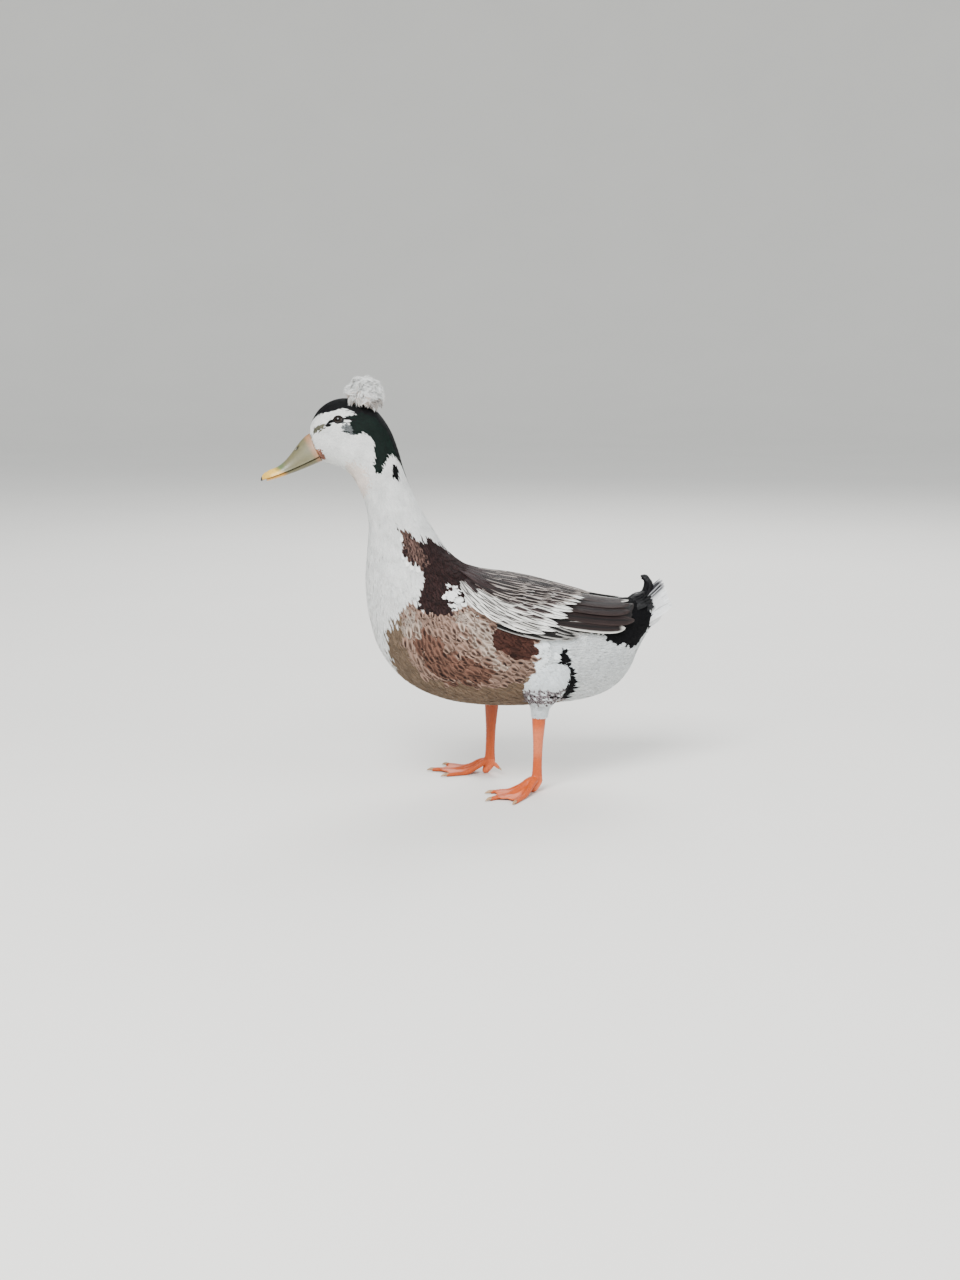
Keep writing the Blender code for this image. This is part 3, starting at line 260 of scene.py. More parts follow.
# Tail fans: count, root and tip of the middle and the outermost feather in millimetres, half width, slopes of
# the roof that they make, vane, and looks of the middle and the outer ones.
Fan = namedtuple("Fan", "count inner outer half_width slopes vane looks")
TAIL_WHITE = Look("#f0f1f1", "#fcfcfb", "#3a393c", (0.3, 0, 0.3), 0.04)
TAIL_DARK = Look("#1b1b20", "#d8d8da", "#0a0a0c", (0.6, 0, 0.6), 0.12)
TAIL_BLACK = LOOKS["black"]
TAIL_FANS = (
    Fan(11, ((138, 2, 174), (169.5, 4, 204.5)), ((140, 11, 157), (171, 26, 182)), 5.4, (18, 50), "flight",
        (TAIL_DARK, TAIL_WHITE)),
    Fan(6, ((138, 3, 181.5), (154.5, 4, 195)), ((138, 14, 171), (155.5, 18, 180)), 3.8, (14, 50), "pointed",
        (TAIL_BLACK, TAIL_BLACK)),
    Fan(6, ((132, 3, 183.5), (148, 4, 191.5)), ((131, 17, 175), (148, 18, 181)), 3.8, (10, 46), "pointed",
        (TAIL_BLACK, TAIL_BLACK)),
    Fan(7, ((139, 2, 166), (165, 3, 193)), ((141, 11, 153), (167, 21, 176)), 5, (18, 50), "pointed",
        (TAIL_DARK, TAIL_WHITE)),
    Fan(6, ((138, 2, 155), (162, 3, 181)), ((139, 12, 148), (163, 17, 170)), 5, (20, 60), "pointed",
        (LOOKS["vent"], TAIL_WHITE)),
    Fan(5, ((136, 3, 141), (160.5, 3, 163)), ((137, 15, 152), (162, 17, 173.5)), 4.8, (170, 125), "pointed",
        (TAIL_BLACK, TAIL_BLACK)),
    Fan(5, ((128, 3, 124), (150, 3, 146)), ((129, 19, 140), (152, 17, 160)), 5, (170, 118), "pointed",
        (LOOKS["vent"], TAIL_BLACK)),
)
CURL_PATH = ((146, 183), (152.5, 194), (154.5, 202.5), (152, 208.5), (147, 209.5))
CURL_HALF_WIDTHS = (4, 4.2, 4, 3.2, 1)
CURLS = ((2, 0, 0.98), (6, 2.5, 0.84), (4, 1, 0.92))

# Vanes: outline as shares of length and of half width, columns across, ridge, arch and fraying of the tip.
Vane = namedtuple("Vane", "outline columns ridge arch fray")
VANES = {
    "silk": Vane(((0, 0.6), (0.6, 1), (1, 0.2)), 2, 0.06, 0.03, 0),
    "plume": Vane(((0, 0.45), (0.34, 0.95), (0.7, 0.92), (1, 0.24)), 4, 0.05, 0.06, 0.16),
    "round": Vane(((0, 0.5), (0.4, 0.95), (0.72, 0.94), (0.9, 0.62), (1, 0.26)), 4, 0.04, 0.04, 0.11),
    "pointed": Vane(((0, 0.45), (0.25, 0.85), (0.52, 1), (0.74, 0.86), (0.9, 0.5), (1, 0.1)),
                    4, 0.07, 0.14, 0),
    "flight": Vane(((0, 0.5), (0.12, 0.68), (0.26, 0.84), (0.42, 0.95), (0.58, 1), (0.72, 0.95), (0.84, 0.78),
                    (0.93, 0.5), (0.98, 0.26), (1, 0.08)), 6, 0.05, 0.08, 0),
    "strand": Vane(((0, 0.4), (0.2, 0.75), (0.45, 1), (0.7, 1), (0.88, 0.8), (1, 0.25)), 2, 0.12, 0.2, 0),
}


def linear(code):
    """Linear colour of an sRGB hex code."""
    shares = [int(code[i:i + 2], 16) / 255 for i in (1, 3, 5)]
    return np.array([c / 12.92 if c <= 0.04045 else ((c + 0.055) / 1.055) ** 2.4 for c in shares])


def blend(first, second, share):
    """Value or colour a share of the way from the first to the second."""
    return first + (second - first) * share


def smooth(t):
    """Eased share from 0 to 1, of a number or an array."""
    t = np.clip(t, 0.0, 1.0)
    return t * t * (3 - 2 * t)


def catmull(a, b, c, d, t):
    """Smooth value between b and c at share t."""
    square, cube = 2 * a - 5 * b + 4 * c - d, 3 * b - a - 3 * c + d
    return 0.5 * (2 * b + (c - a) * t + square * t * t + cube * t ** 3)


def curve_through(values, share):
    """Smooth value at shares of the way through evenly spaced values."""
    values = np.asarray(values, float)
    last = len(values) - 1
    at = np.clip(share, 0.0, 1.0) * last
    i = np.minimum(last - 1, np.floor(at).astype(int))
    near = [values[np.clip(i + k, 0, last)] for k in (-1, 0, 1, 2)]
    return catmull(*near, at - i)


def unit(vectors):
    """Vectors of length one."""
    return vectors / np.maximum(1e-9, np.linalg.norm(vectors, axis=-1, keepdims=True))


def turned(points, share):
    """Points with a share of the head's turn about the neck's upright axis."""
    angle = math.radians(HEAD_TURN) * np.asarray(share, float)
    dx, dy = points[..., 0] - NECK_AXIS[0], points[..., 1] - NECK_AXIS[1]
    x = NECK_AXIS[0] + dx * np.cos(angle) - dy * np.sin(angle)
    y = NECK_AXIS[1] + dx * np.sin(angle) + dy * np.cos(angle)
    return np.stack([x, y, points[..., 2]], -1)


def flat_body(s, angle):
    """Points of the body before the head's turn, at stations s and turns from the back in radians."""
    s, angle = np.broadcast_arrays(np.asarray(s, float), np.asarray(angle, float))
    last = len(STATIONS) - 1
    i = np.clip(np.floor(s).astype(int), 0, last - 1)
    near = [STATIONS[np.clip(i + k, 0, last)] for k in (-1, 0, 1, 2)]
    row = catmull(*near, (s - i)[..., None])
    rise = np.cos(angle)
    along = rise - row[..., 5] * (1 - rise * rise)
    x = (row[..., 0] + row[..., 2]) / 2 + (row[..., 0] - row[..., 2]) / 2 * along
    z = (row[..., 1] + row[..., 3]) / 2 + (row[..., 1] - row[..., 3]) / 2 * along
    return np.stack([x, -row[..., 4] * np.sin(angle), z], -1)


def body(s, angle):
    """Points of the coat's outer shape in millimetres; a positive angle is on the bird's left."""
    share = smooth((NECK_END - np.asarray(s, float)) / (NECK_END - HEAD_END))
    points = flat_body(s, angle)
    return turned(points, np.broadcast_to(share, points.shape[:-1]))


def outward(surface, u, v, step_u=0.02, step_v=0.02):
    """Outward directions of a surface given by two numbers."""
    along = surface(u + step_u, v) - surface(u - step_u, v)
    around = surface(u, v + step_v) - surface(u, v - step_v)
    return unit(np.cross(around, along))


def coat(values, s):
    """A value of the coat at stations s."""
    return np.interp(s, COAT_STATIONS, values)


def from_back(turn):
    """Degrees from the back, on either side."""
    return np.abs(np.degrees(turn))


def inside(outline, s, degrees):
    """Whether places lie inside an outline of (station, degrees from the back)."""
    s, degrees = np.asarray(s, float), np.asarray(degrees, float)
    found = np.zeros(s.shape, bool)
    for (s0, a0), (s1, a1) in zip(outline, outline[1:] + outline[:1]):
        crosses = (a0 > degrees) != (a1 > degrees)
        edge = s0 + (degrees - a0) * (s1 - s0) / ((a1 - a0) or 1e-9)
        found ^= crosses & (s < edge)
    return found


def looks_at(s, angle, draw=None):
    """Names of the looks at places of the body, with ragged borders where a draw is given."""
    degrees = from_back(angle)
    found = np.full(len(s), "white", object)
    for region in REGIONS:
        shift_s, shift_a = 0.0, 0.0
        if draw is not None:
            shift_s, shift_a = (draw.normal(0, ragged, len(s)) * RAGGEDNESS for ragged in region.ragged)
        found[inside(region.outline, s + shift_s, degrees + shift_a)] = region.look
    return found


def paint_of(looks, draw):
    """Colours and marks of feathers from a list of their looks."""
    shade = 1 + draw.normal(0, 1, len(looks)) * np.array([look.spread for look in looks])
    shade = np.clip(shade, *SHADES)[:, None]
    marks = np.array([look.marks for look in looks], float)
    marks[:, 1] *= draw.uniform(0.25, 1.0, len(looks)) ** 0.6
    return {
        "ground": np.array([linear(look.ground) for look in looks]) * shade,
        "fringe": np.array([linear(look.fringe) for look in looks]) * np.sqrt(shade),
        "spot": np.array([linear(look.spot) for look in looks]),
        "marks": marks,
    }


def lay(surface, u0, v0, u1, v1, lifts, half_width, tilt=0.0, normal_of=None):
    """Feathers that follow a surface from root to tip, lifted over it at root, middle and tip."""
    um, vm = (u0 + u1) / 2, (v0 + v1) / 2
    normal_of = normal_of or (lambda u, v: outward(surface, u, v))
    low, middle, high, width, slant = (np.broadcast_to(np.asarray(x, float), u0.shape)[:, None]
                                       for x in (*lifts, half_width, tilt))
    root = surface(u0, v0) + normal_of(u0, v0) * low
    tip = surface(u1, v1) + normal_of(u1, v1) * high
    normal = normal_of(um, vm)
    half = surface(um, vm) + normal * middle
    reach = tip - root
    side = unit(np.cross(normal, reach))
    face = unit(np.cross(reach, side))
    return {
        "root": root, "reach": reach, "bow": 4 * (half - (root + tip) / 2),
        "side": (side + face * slant) * width, "face": face * width,
    }


def tract(first, last, draw, keep=None, pitch=1.0, aspect=0.62, length=3.2, width=0.90, droop=0.0, raised=0.0,
          stray=0.10):
    """Staggered rows of small feathers round the body between two stations, with their looks.

    A row is one pitch behind the row before it; aspect is the distance between neighbours in pitches, length
    and width are those of a feather in pitches and distances, and droop lets the tips hang down.
    """
    places = []
    s, row = first, 0
    while s < last:
        step = coat(COAT_PITCHES, s) * pitch
        ring = body(np.full(64, s), np.linspace(0, 2 * np.pi, 64))
        around = np.linalg.norm(np.diff(ring, axis=0), axis=1).sum()
        count = max(8, int(around / (step * aspect)))
        turns = (np.arange(count) + 0.5 * (row % 2)) * 2 * np.pi / count - np.pi
        # How many millimetres one station is long here.
        probe, sixteen = 0.05, ring_turns(16, -np.pi)
        ahead = np.linalg.norm(body(np.full(16, s + probe), sixteen) - body(np.full(16, s), sixteen), axis=1)
        speed = max(ahead.mean() / probe, 1e-6)
        places.append(np.stack(np.broadcast_arrays(s, turns, step, step / speed), 1))
        s += step / speed
        row += 1
    s, turn, step, stride = np.concatenate(places).T
    girth = np.maximum(8.0, np.interp(s, np.arange(len(STATIONS)), STATIONS[:, 4]))
    s = s + draw.normal(0, 0.28, len(s)) * stride
    turn = turn + draw.normal(0, 0.20, len(s)) * step * aspect / girth
    kept = (s > first - 0.5) & (s < last) if keep is None else keep(s, turn)
    s, turn, step, stride, girth = (x[kept] for x in (s, turn, step, stride, girth))
    share = length * draw.uniform(0.85, 1.15, len(s))
    across = step * share * (draw.normal(0, stray, len(s)) + droop * 0.30 * np.sign(turn)) / girth
    depth = coat(COAT_DEPTHS, s)
    tip = np.minimum(s + stride * share, RUMP_END - 0.02)
    # Roots lie near the skin and tips on the outer shape of the coat.
    lifts = (-depth * 0.95, -depth * 0.24 + raised * 0.5, 0.02 + raised + draw.uniform(-0.07, 0.07, len(s)))
    made = lay(body, s, turn, tip, turn + across, lifts, step * aspect * width, draw.normal(0, 0.05, len(s)))
    made["s"], made["turn"] = s, turn
    made["looks"] = looks_at(s + stride * share * LOOK_SHARE, turn + across * LOOK_SHARE, draw)
    return made


def ring_turns(count, start=0.0):
    """Even turns once round, in radians."""
    return np.linspace(start, start + 2 * np.pi, count + 1)[:-1]


def painted(feathers, draw, looks=None):
    """The feathers with their colours, and their place on an unwrap of the body."""
    names = feathers.pop("looks", None)
    feathers.update(paint_of(looks or [LOOKS[name] for name in names], draw))
    if "place" not in feathers:
        s, turn = feathers.pop("s"), feathers.pop("turn")
        feathers["place"] = unwrap(s, turn)
    return feathers


def unwrap(s, turn):
    """Place on the flat unwrap of the body: stations across, turns from the back upwards."""
    span = (s.min(), max(s.max(), s.min() + 0.5))
    u = 0.02 + 0.95 * (s - span[0]) / (span[1] - span[0])
    v = 0.02 + 0.95 * (turn + np.pi) / (2 * np.pi)
    return np.stack([u, np.clip(v, 0.02, 0.97), np.zeros(len(s))], 1)


def merged(groups):
    """One set of feathers from several."""
    return {key: np.concatenate([group[key] for group in groups]) for key in groups[0]}


def chosen(feathers, kept):
    """The feathers that are kept."""
    return {key: value[kept] for key, value in feathers.items()}


def add_node(tree, kind, inputs=None, **settings):
    """Outputs of a new node with its settings, whose inputs are values or sockets to link."""
    node = tree.nodes.new(kind)
    for key, value in settings.items():
        setattr(node, key, value)
    for key, given in (inputs or {}).items():
        if isinstance(given, bpy.types.NodeSocket):
            tree.links.new(given, node.inputs[key])
        else:
            node.inputs[key].default_value = given
    return node.outputs


def vane_object(name):
    """Closed thin vane, 1 long and 2 wide, whose rim is sharp and whose shaft stands up a little."""
    vane = VANES[name]
    rows, columns = len(vane.outline), vane.columns
    points, shares, top, bottom = [], [], {}, {}
    for i, (x, width) in enumerate(vane.outline):
        for k in range(columns + 1):
            q = 2 * k / columns - 1
            bend = vane.arch * (1 - q * q)
            pulled = x - vane.fray * (k % 2) * (i == rows - 1) - (0.05 * q * q if i == rows - 1 else 0.0)
            rim = i in (0, rows - 1) or k in (0, columns)
            thick = vane.ridge * (1 - 0.6 * abs(q))
            for store, lift in ((top, 0.0 if rim else thick), (bottom, 0.0 if rim else -0.5 * thick)):
                if rim and store is bottom:
                    bottom[i, k] = top[i, k]
                    continue
                store[i, k] = len(points)
                points.append((pulled, q * width, bend + lift))
                shares.append((x, q, 0.0))
    faces = []
    for i in range(rows - 1):
        for k in range(columns):
            corners = [(i, k), (i + 1, k), (i + 1, k + 1), (i, k + 1)]
            faces.append([top[c] for c in corners])
            faces.append([bottom[c] for c in reversed(corners)])
    mesh = bpy.data.meshes.new("vane_" + name)
    mesh.from_pydata(points, [], faces)
    mesh.shade_smooth()
    ends = {top[i, k] for i, k in top if i in (0, rows - 1) or k in (0, columns)}
    rim = mesh.attributes.new("sharp_edge", "BOOLEAN", "EDGE")
    rim.data.foreach_set("value", [set(edge.vertices) <= ends for edge in mesh.edges])
    write_attribute(mesh, "shape", np.array(points))
    write_attribute(mesh, "vane", np.array(shares))
    return bpy.data.objects.new("vane_" + name, mesh)


def write_attribute(mesh, name, values, kind="FLOAT_VECTOR"):
    """Vectors, or colours, on the points of a mesh."""
    attribute = mesh.attributes.new(name, kind, "POINT")
    values = np.asarray(values, np.float32)
    if kind == "FLOAT_COLOR":
        values = np.concatenate([values, np.ones((len(values), 1), np.float32)], 1)
    attribute.data.foreach_set("color" if kind == "FLOAT_COLOR" else "vector", values.ravel())


def vane_tree():
    """Geometry Nodes that set a vane on every root and bend it along its own reach and bow."""
    if "lay vanes" in bpy.data.node_groups:
        return bpy.data.node_groups["lay vanes"]
    tree = bpy.data.node_groups.new("lay vanes", "GeometryNodeTree")
    for name, kind in (("Geometry", "Geometry"), ("Vane", "Object"), ("Finish", "Material"),
                       ("Ruffle", "Float"), ("Patch", "Float"), ("Seed", "Int")):
        tree.interface.new_socket(name, in_out="INPUT", socket_type="NodeSocket" + kind)
    tree.interface.new_socket("Geometry", in_out="OUTPUT", socket_type="NodeSocketGeometry")
    node = partial(add_node, tree)
    given = node("NodeGroupInput")
    drawn = node("FunctionNodeRandomValue", {2: -1.0, 3: 1.0, "Seed": given["Seed"]})[1]
    rooted = node("GeometryNodeStoreNamedAttribute",
                  {"Name": "stray", "Geometry": given["Geometry"], "Value": drawn}, data_type="FLOAT")[0]
    template = node("GeometryNodeObjectInfo", {"Object": given["Vane"]})["Geometry"]
    placed = node("GeometryNodeInstanceOnPoints", {"Points": rooted, "Instance": template})[0]
    real = node("GeometryNodeRealizeInstances", {"Geometry": placed})[0]
    # What a point carries from its feather's root, and where it lies on the vane.
    root, reach, bow, side, face, place, shape = (
        node("GeometryNodeInputNamedAttribute", {"Name": name}, data_type="FLOAT_VECTOR")[0]
        for name in ("root", "reach", "bow", "side", "face", "place", "shape"))
    stray = node("GeometryNodeInputNamedAttribute", {"Name": "stray"}, data_type="FLOAT")[0]
    along, across, over = node("ShaderNodeSeparateXYZ", {0: shape})
    rest = node("ShaderNodeMath", {0: 1.0, 1: along}, operation="SUBTRACT")[0]
    bulge = node("ShaderNodeMath", {0: along, 1: rest}, operation="MULTIPLY")[0]
    unrest = node("ShaderNodeMath", {0: stray, 1: given["Ruffle"]}, operation="MULTIPLY")[0]
    for factor in (along, along):
        unrest = node("ShaderNodeMath", {0: unrest, 1: factor}, operation="MULTIPLY")[0]
    over = node("ShaderNodeMath", {0: over, 1: unrest}, operation="ADD")[0]
    where = root
    for way, share in ((reach, along), (bow, bulge), (side, across), (face, over)):
        where = node("ShaderNodeVectorMath", {0: way, 1: share, 2: where}, operation="MULTIPLY_ADD")[0]
    bent = node("GeometryNodeSetPosition", {"Geometry": real, "Position": where})[0]
    patch = node("ShaderNodeVectorMath", {0: shape, 1: given["Patch"], 2: place}, operation="MULTIPLY_ADD")[0]
    mapped = node("GeometryNodeStoreNamedAttribute", {"Name": "OFBake", "Geometry": bent, "Value": patch},
                  data_type="FLOAT2", domain="CORNER")[0]
    finished = node("GeometryNodeSetMaterial", {"Geometry": mapped, "Material": given["Finish"]})[0]
    node("NodeGroupOutput", {0: finished})
    return tree


def grow(name, feathers, vane, material, ruffle=0.0, seed=1):
    """A piece of plumage: a vane of one kind on each root, as a plain mesh that rides on the body."""
    roots = (feathers["root"] + CENTRE) * MM
    mesh = bpy.data.meshes.new(name)
    mesh.from_pydata(roots, [], [])
    write_attribute(mesh, "root", roots)
    for key, size in (("reach", MM), ("bow", MM), ("side", MM), ("face", MM), ("marks", 1), ("place", 1)):
        write_attribute(mesh, key, feathers[key] * size)
    for key in ("ground", "fringe", "spot"):
        write_attribute(mesh, key, feathers[key], "FLOAT_COLOR")
    made = add_object(name, mesh)
    template = vane_object(vane)
    modifier = made.modifiers.new("vanes", "NODES")
    modifier.node_group = vane_tree()
    given = {"Vane": template, "Finish": material, "Ruffle": ruffle, "Patch": BAKE_PATCH, "Seed": seed}
    for item in modifier.node_group.interface.items_tree:
        if item.in_out == "INPUT" and item.name in given:
            modifier[item.identifier] = given[item.name]
    settle(made)
    for key in ("root", "reach", "bow", "side", "face", "place", "shape", "stray"):
        if key in made.data.attributes:
            made.data.attributes.remove(made.data.attributes[key])
    bpy.data.objects.remove(template)
    made.data.shade_smooth()
    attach(made, "root")
    return made


def add_object(name, data):
    """A new object in the scene."""
    made = bpy.data.objects.new(name, data)
    bpy.context.scene.collection.objects.link(made)
    return made


def settle(made):
    """Turns an object and its modifiers into a plain mesh."""
    bpy.context.view_layer.update()
    graph = bpy.context.evaluated_depsgraph_get()
    old = made.data
    final = made.evaluated_get(graph)
    made.data = bpy.data.meshes.new_from_object(final, preserve_all_data_layers=True, depsgraph=graph)
    made.modifiers.clear()
    made.data.name = made.name
    bpy.data.meshes.remove(old)


def new_piece(name, points, faces, material, slot, tint=None):
    """A plain mesh in the frame, from points in millimetres, with one colour or one for each point."""
    mesh = bpy.data.meshes.new(name)
    mesh.from_pydata((np.asarray(points) + CENTRE) * MM, [], faces)
    mesh.validate()
    mesh.shade_smooth()
    mesh.materials.append(material)
    if tint is not None:
        write_attribute(mesh, "tint", np.broadcast_to(tint, (len(points), 3)), "FLOAT_COLOR")
    made = add_object(name, mesh)
    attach(made, "root")
    return made


def tube(rings, tips=(None, None)):
    """Points and faces of a closed tube through rings of equal count, with a point over each end."""
    rings = [np.asarray(ring) for ring in rings]
    count = len(rings[0])
    points = list(np.concatenate(rings))
    faces = []
    for i in range(len(rings) - 1):
        for k in range(count):
            j = (k + 1) % count
            faces.append((i * count + k, i * count + j, (i + 1) * count + j, (i + 1) * count + k))
    for at, ring, tip in ((0, rings[0], tips[0]), (len(rings) - 1, rings[-1], tips[1])):
        middle = len(points)
        points.append(ring.mean(axis=0) if tip is None else np.asarray(tip))
        for k in range(count):
            j = (k + 1) % count
            near, far = at * count + k, at * count + j
            faces.append((far, near, middle) if at == 0 else (near, far, middle))
    return points, outward_faces(points, faces)


def outward_faces(points, faces):
    """The faces of a closed shape, turned over if they point inwards."""
    points = np.asarray(points)
    volume = 0.0
    for face in faces:
        a = points[face[0]]
        for b, c in zip(face[1:], face[2:]):
            volume += np.dot(a, np.cross(points[b], points[c]))
    return faces if volume > 0 else [tuple(reversed(face)) for face in faces]


def plate(top, bottom):
    """Points and faces of a closed plate between two grids of points."""
    top, bottom = np.asarray(top), np.asarray(bottom)
    rows, columns = top.shape[:2]
    points = list(top.reshape(-1, 3)) + list(bottom.reshape(-1, 3))
    under = rows * columns
    faces = []
    for i in range(rows - 1):
        for k in range(columns - 1):
            a, d = i * columns + k, (i + 1) * columns + k
            b, c = a + 1, d + 1
            faces.append((a, b, c, d))
            faces.append((under + d, under + c, under + b, under + a))
    rim = list(range(columns)) + [i * columns + columns - 1 for i in range(1, rows)]
    rim += [(rows - 1) * columns + k for k in range(columns - 2, -1, -1)]
    rim += [i * columns for i in range(rows - 2, 0, -1)]
    for a, b in zip(rim, rim[1:] + rim[:1]):
        faces.append((b, a, under + a, under + b))
    return points, outward_faces(points, faces)


def joined(shapes):
    """One list of points and one of faces from several shapes."""
    points, faces = [], []
    for some_points, some_faces in shapes:
        start = len(points)
        points.extend(some_points)
        faces.extend(tuple(start + i for i in face) for face in some_faces)
    return points, faces


def fuse(made, voxel, rounds):
    """Makes overlapping closed shapes one seamless skin, and smooths it."""
    material = made.data.materials[0]
    remesh = made.modifiers.new("fuse", "REMESH")
    remesh.mode = "VOXEL"
    remesh.voxel_size = voxel * MM
    soften = made.modifiers.new("soften", "SMOOTH")
    soften.factor = 0.5
    soften.iterations = rounds
    settle(made)
    made.data.materials.clear()
    made.data.materials.append(material)
    made.data.shade_smooth()


def mesh_points(mesh):
    """Points of a mesh in millimetres of the maker's frame, and their normals."""
    points = np.zeros(len(mesh.vertices) * 3, np.float32)
    mesh.vertices.foreach_get("co", points)
    normals = np.zeros(len(mesh.vertices) * 3, np.float32)
    mesh.vertices.foreach_get("normal", normals)
    return points.reshape(-1, 3) / MM - CENTRE, normals.reshape(-1, 3)


def move_points(mesh, points):
    """Puts the points of a mesh at places in millimetres."""
    mesh.vertices.foreach_set("co", ((points + CENTRE) * MM).astype(np.float32).ravel())
    mesh.update()


def body_places(points):
    """Station and turn of the body's nearest place to each point."""
    s = np.arange(0, RUMP_END + 0.01, 0.15)
    turn = ring_turns(120, -np.pi)
    grid_s, grid_turn = (x.ravel() for x in np.meshgrid(s, turn, indexing="ij"))
    tree = KDTree(len(grid_s))
    for i, point in enumerate(body(grid_s, grid_turn)):
        tree.insert(point, i)
    tree.balance()
    nearest = np.array([tree.find(point)[1] for point in points])
    return grid_s[nearest], grid_turn[nearest]


def eye_frame(side):
    """Centre of an eye, its outward direction, its forward and its upward direction."""
    s, turn = np.meshgrid(np.linspace(2, 5, 121), np.linspace(0.5, 1.5, 121), indexing="ij")
    flat = flat_body(s, turn)
    miss = (flat[..., 0] - EYE_AT[0]) ** 2 + (flat[..., 2] - EYE_AT[1]) ** 2
    i = np.unravel_index(np.argmin(miss), miss.shape)
    at_s, at_turn = np.array([s[i]]), np.array([-side * turn[i]])
    out = outward(body, at_s, at_turn)[0]
    centre = body(at_s, at_turn)[0] + out * (EYE_BULGE - EYE_RADIUS)
    up = unit(UPWARDS - out * out[2])
    return centre, out, unit(np.cross(up, out)), up


def clear_of_eyes(points, tips):
    """Which feathers leave the eyes free."""
    free = np.ones(len(points), bool)
    for side in SIDES.values():
        centre, out, ahead, up = eye_frame(side)
        for place in (points, tips, (points + tips) / 2):
            gap = place - centre
            across, high = gap @ ahead / (LID_REACH[0] + LID_MARGIN), gap @ up / (LID_REACH[1] + LID_MARGIN)
            near = across ** 2 + high ** 2
            free &= ~((near < 1) & (gap @ out > -1.0))
    return free


def shader(name, roughness, sheen=0.0, coat_weight=0.0, ior=1.5, gloss=0.5, soft=0.0):
    """A new material, its node tree and its shader with the plain numbers set."""
    material = bpy.data.materials.new(name)
    material.use_nodes = True
    principled = material.node_tree.nodes["Principled BSDF"]
    values = {
        "Roughness": roughness, "IOR": ior, "Specular IOR Level": gloss,
        "Sheen Weight": sheen, "Sheen Roughness": 0.5, "Coat Weight": coat_weight, "Coat Roughness": 0.15,
        "Subsurface Weight": soft, "Subsurface Radius": (1.0, 0.9, 0.8), "Subsurface Scale": SOFT_DEPTH * MM,
    }
    for key, value in values.items():
        principled.inputs[key].default_value = value
    return material, material.node_tree, principled


def plumage(name, roughness, gloss, barbs, barb_depth, soft=0.0):
    """Feather keratin, matt and a little see-through, in the colours that each feather carries.

    Fine barbs line it, a fringe runs along its rim, a spot lies near its tip and a streak along its shaft.
    """
    if name in bpy.data.materials:
        return bpy.data.materials[name]
    material, tree, principled = shader(name, roughness, gloss=gloss, soft=soft)
    node = partial(add_node, tree)
    ground, fringe, spot, marks, vane = (node("ShaderNodeAttribute", attribute_name=key)
                                         for key in ("ground", "fringe", "spot", "marks", "vane"))
    fringed, spotted, streaked = node("ShaderNodeSeparateXYZ", {0: marks["Vector"]})
    along, sideways, _ = node("ShaderNodeSeparateXYZ", {0: vane["Vector"]})
    across = node("ShaderNodeMath", {0: sideways}, operation="ABSOLUTE")[0]
    # The streak is wider and stronger the larger its share is.
    wide, core = (node("ShaderNodeMath", {0: streaked, 1: share}, operation="MULTIPLY")[0]
                  for share in (0.46, 0.10))
    line = node("ShaderNodeMapRange", {"Value": across, "From Min": wide, "From Max": core},
                interpolation_type="SMOOTHSTEP")[0]
    strong = node("ShaderNodeMapRange", {"Value": streaked, "From Max": 0.5})[0]
    streak = node("ShaderNodeMath", {0: line, 1: strong}, operation="MULTIPLY")[0]
    # The spot, longer than it is wide.
    past = node("ShaderNodeMath", {0: along, 1: 0.83}, operation="SUBTRACT")[0]
    beside = node("ShaderNodeMath", {0: sideways, 1: 0.36}, operation="MULTIPLY")[0]
    away = node("ShaderNodeCombineXYZ", {0: past, 1: beside})[0]
    away = node("ShaderNodeVectorMath", {0: away}, operation="LENGTH")["Value"]
    near, rim, end = (
        node("ShaderNodeMapRange", {"Value": value, "From Min": low, "From Max": high},
             interpolation_type="SMOOTHSTEP")[0]
        for value, low, high in ((away, 0.27, 0.10), (across, 0.55, 0.95), (along, 0.86, 1.0)))
    dot = node("ShaderNodeMath", {0: near, 1: spotted}, operation="MULTIPLY")[0]
    edge = node("ShaderNodeMath", {0: rim, 1: end}, operation="MAXIMUM")[0]
    edge = node("ShaderNodeMath", {0: edge, 1: fringed}, operation="MULTIPLY")[0]
    colour = ground["Color"]
    for share, other in ((streak, spot), (dot, spot), (edge, fringe)):
        colour = node("ShaderNodeMix", {0: share, 6: colour, 7: other["Color"]}, data_type="RGBA")[2]
    # Barbs slant from the shaft to the rim, drawn about ten times as coarse as real ones so that they show.
    slant = node("ShaderNodeMath", {0: across, 1: 0.55, 2: along}, operation="MULTIPLY_ADD")[0]
    slant = node("ShaderNodeMath", {0: slant, 1: barbs}, operation="MULTIPLY")[0]
    lines = node("ShaderNodeMath", {0: slant}, operation="SINE")[0]
    # Wear in clouds about 12 mm wide and a grain about 1 mm wide.
    place = node("ShaderNodeTexCoord")["Object"]
    cloud, grain = (node("ShaderNodeTexNoise", {"Scale": scale, "Detail": detail, "Vector": place})[0]
                    for scale, detail in ((85.0, 3.0), (900.0, 2.0)))
    # All of these shade the colour, and the root lies in the shadow of the feathers above it.
    for value, least, most, low, high in (
            (cloud, 0.3, 0.7, 0.86, 1.08), (grain, 0.3, 0.7, 0.90, 1.08),
            (lines, -1.0, 1.0, 1.0 - barb_depth, 1.0), (along, 0.1, 0.6, 0.80, 1.0)):
        shade = node("ShaderNodeMapRange", {"Value": value, "From Min": least, "From Max": most,
                                            "To Min": low, "To Max": high})[0]
        colour = node("ShaderNodeVectorMath", {0: colour, 1: shade}, operation="MULTIPLY")[0]
    bump = node("ShaderNodeBump", {"Strength": 0.35, "Distance": BARB_HEIGHT * MM, "Height": lines})[0]
    tree.links.new(colour, principled.inputs["Base Color"])
    tree.links.new(bump, principled.inputs["Normal"])
    return material


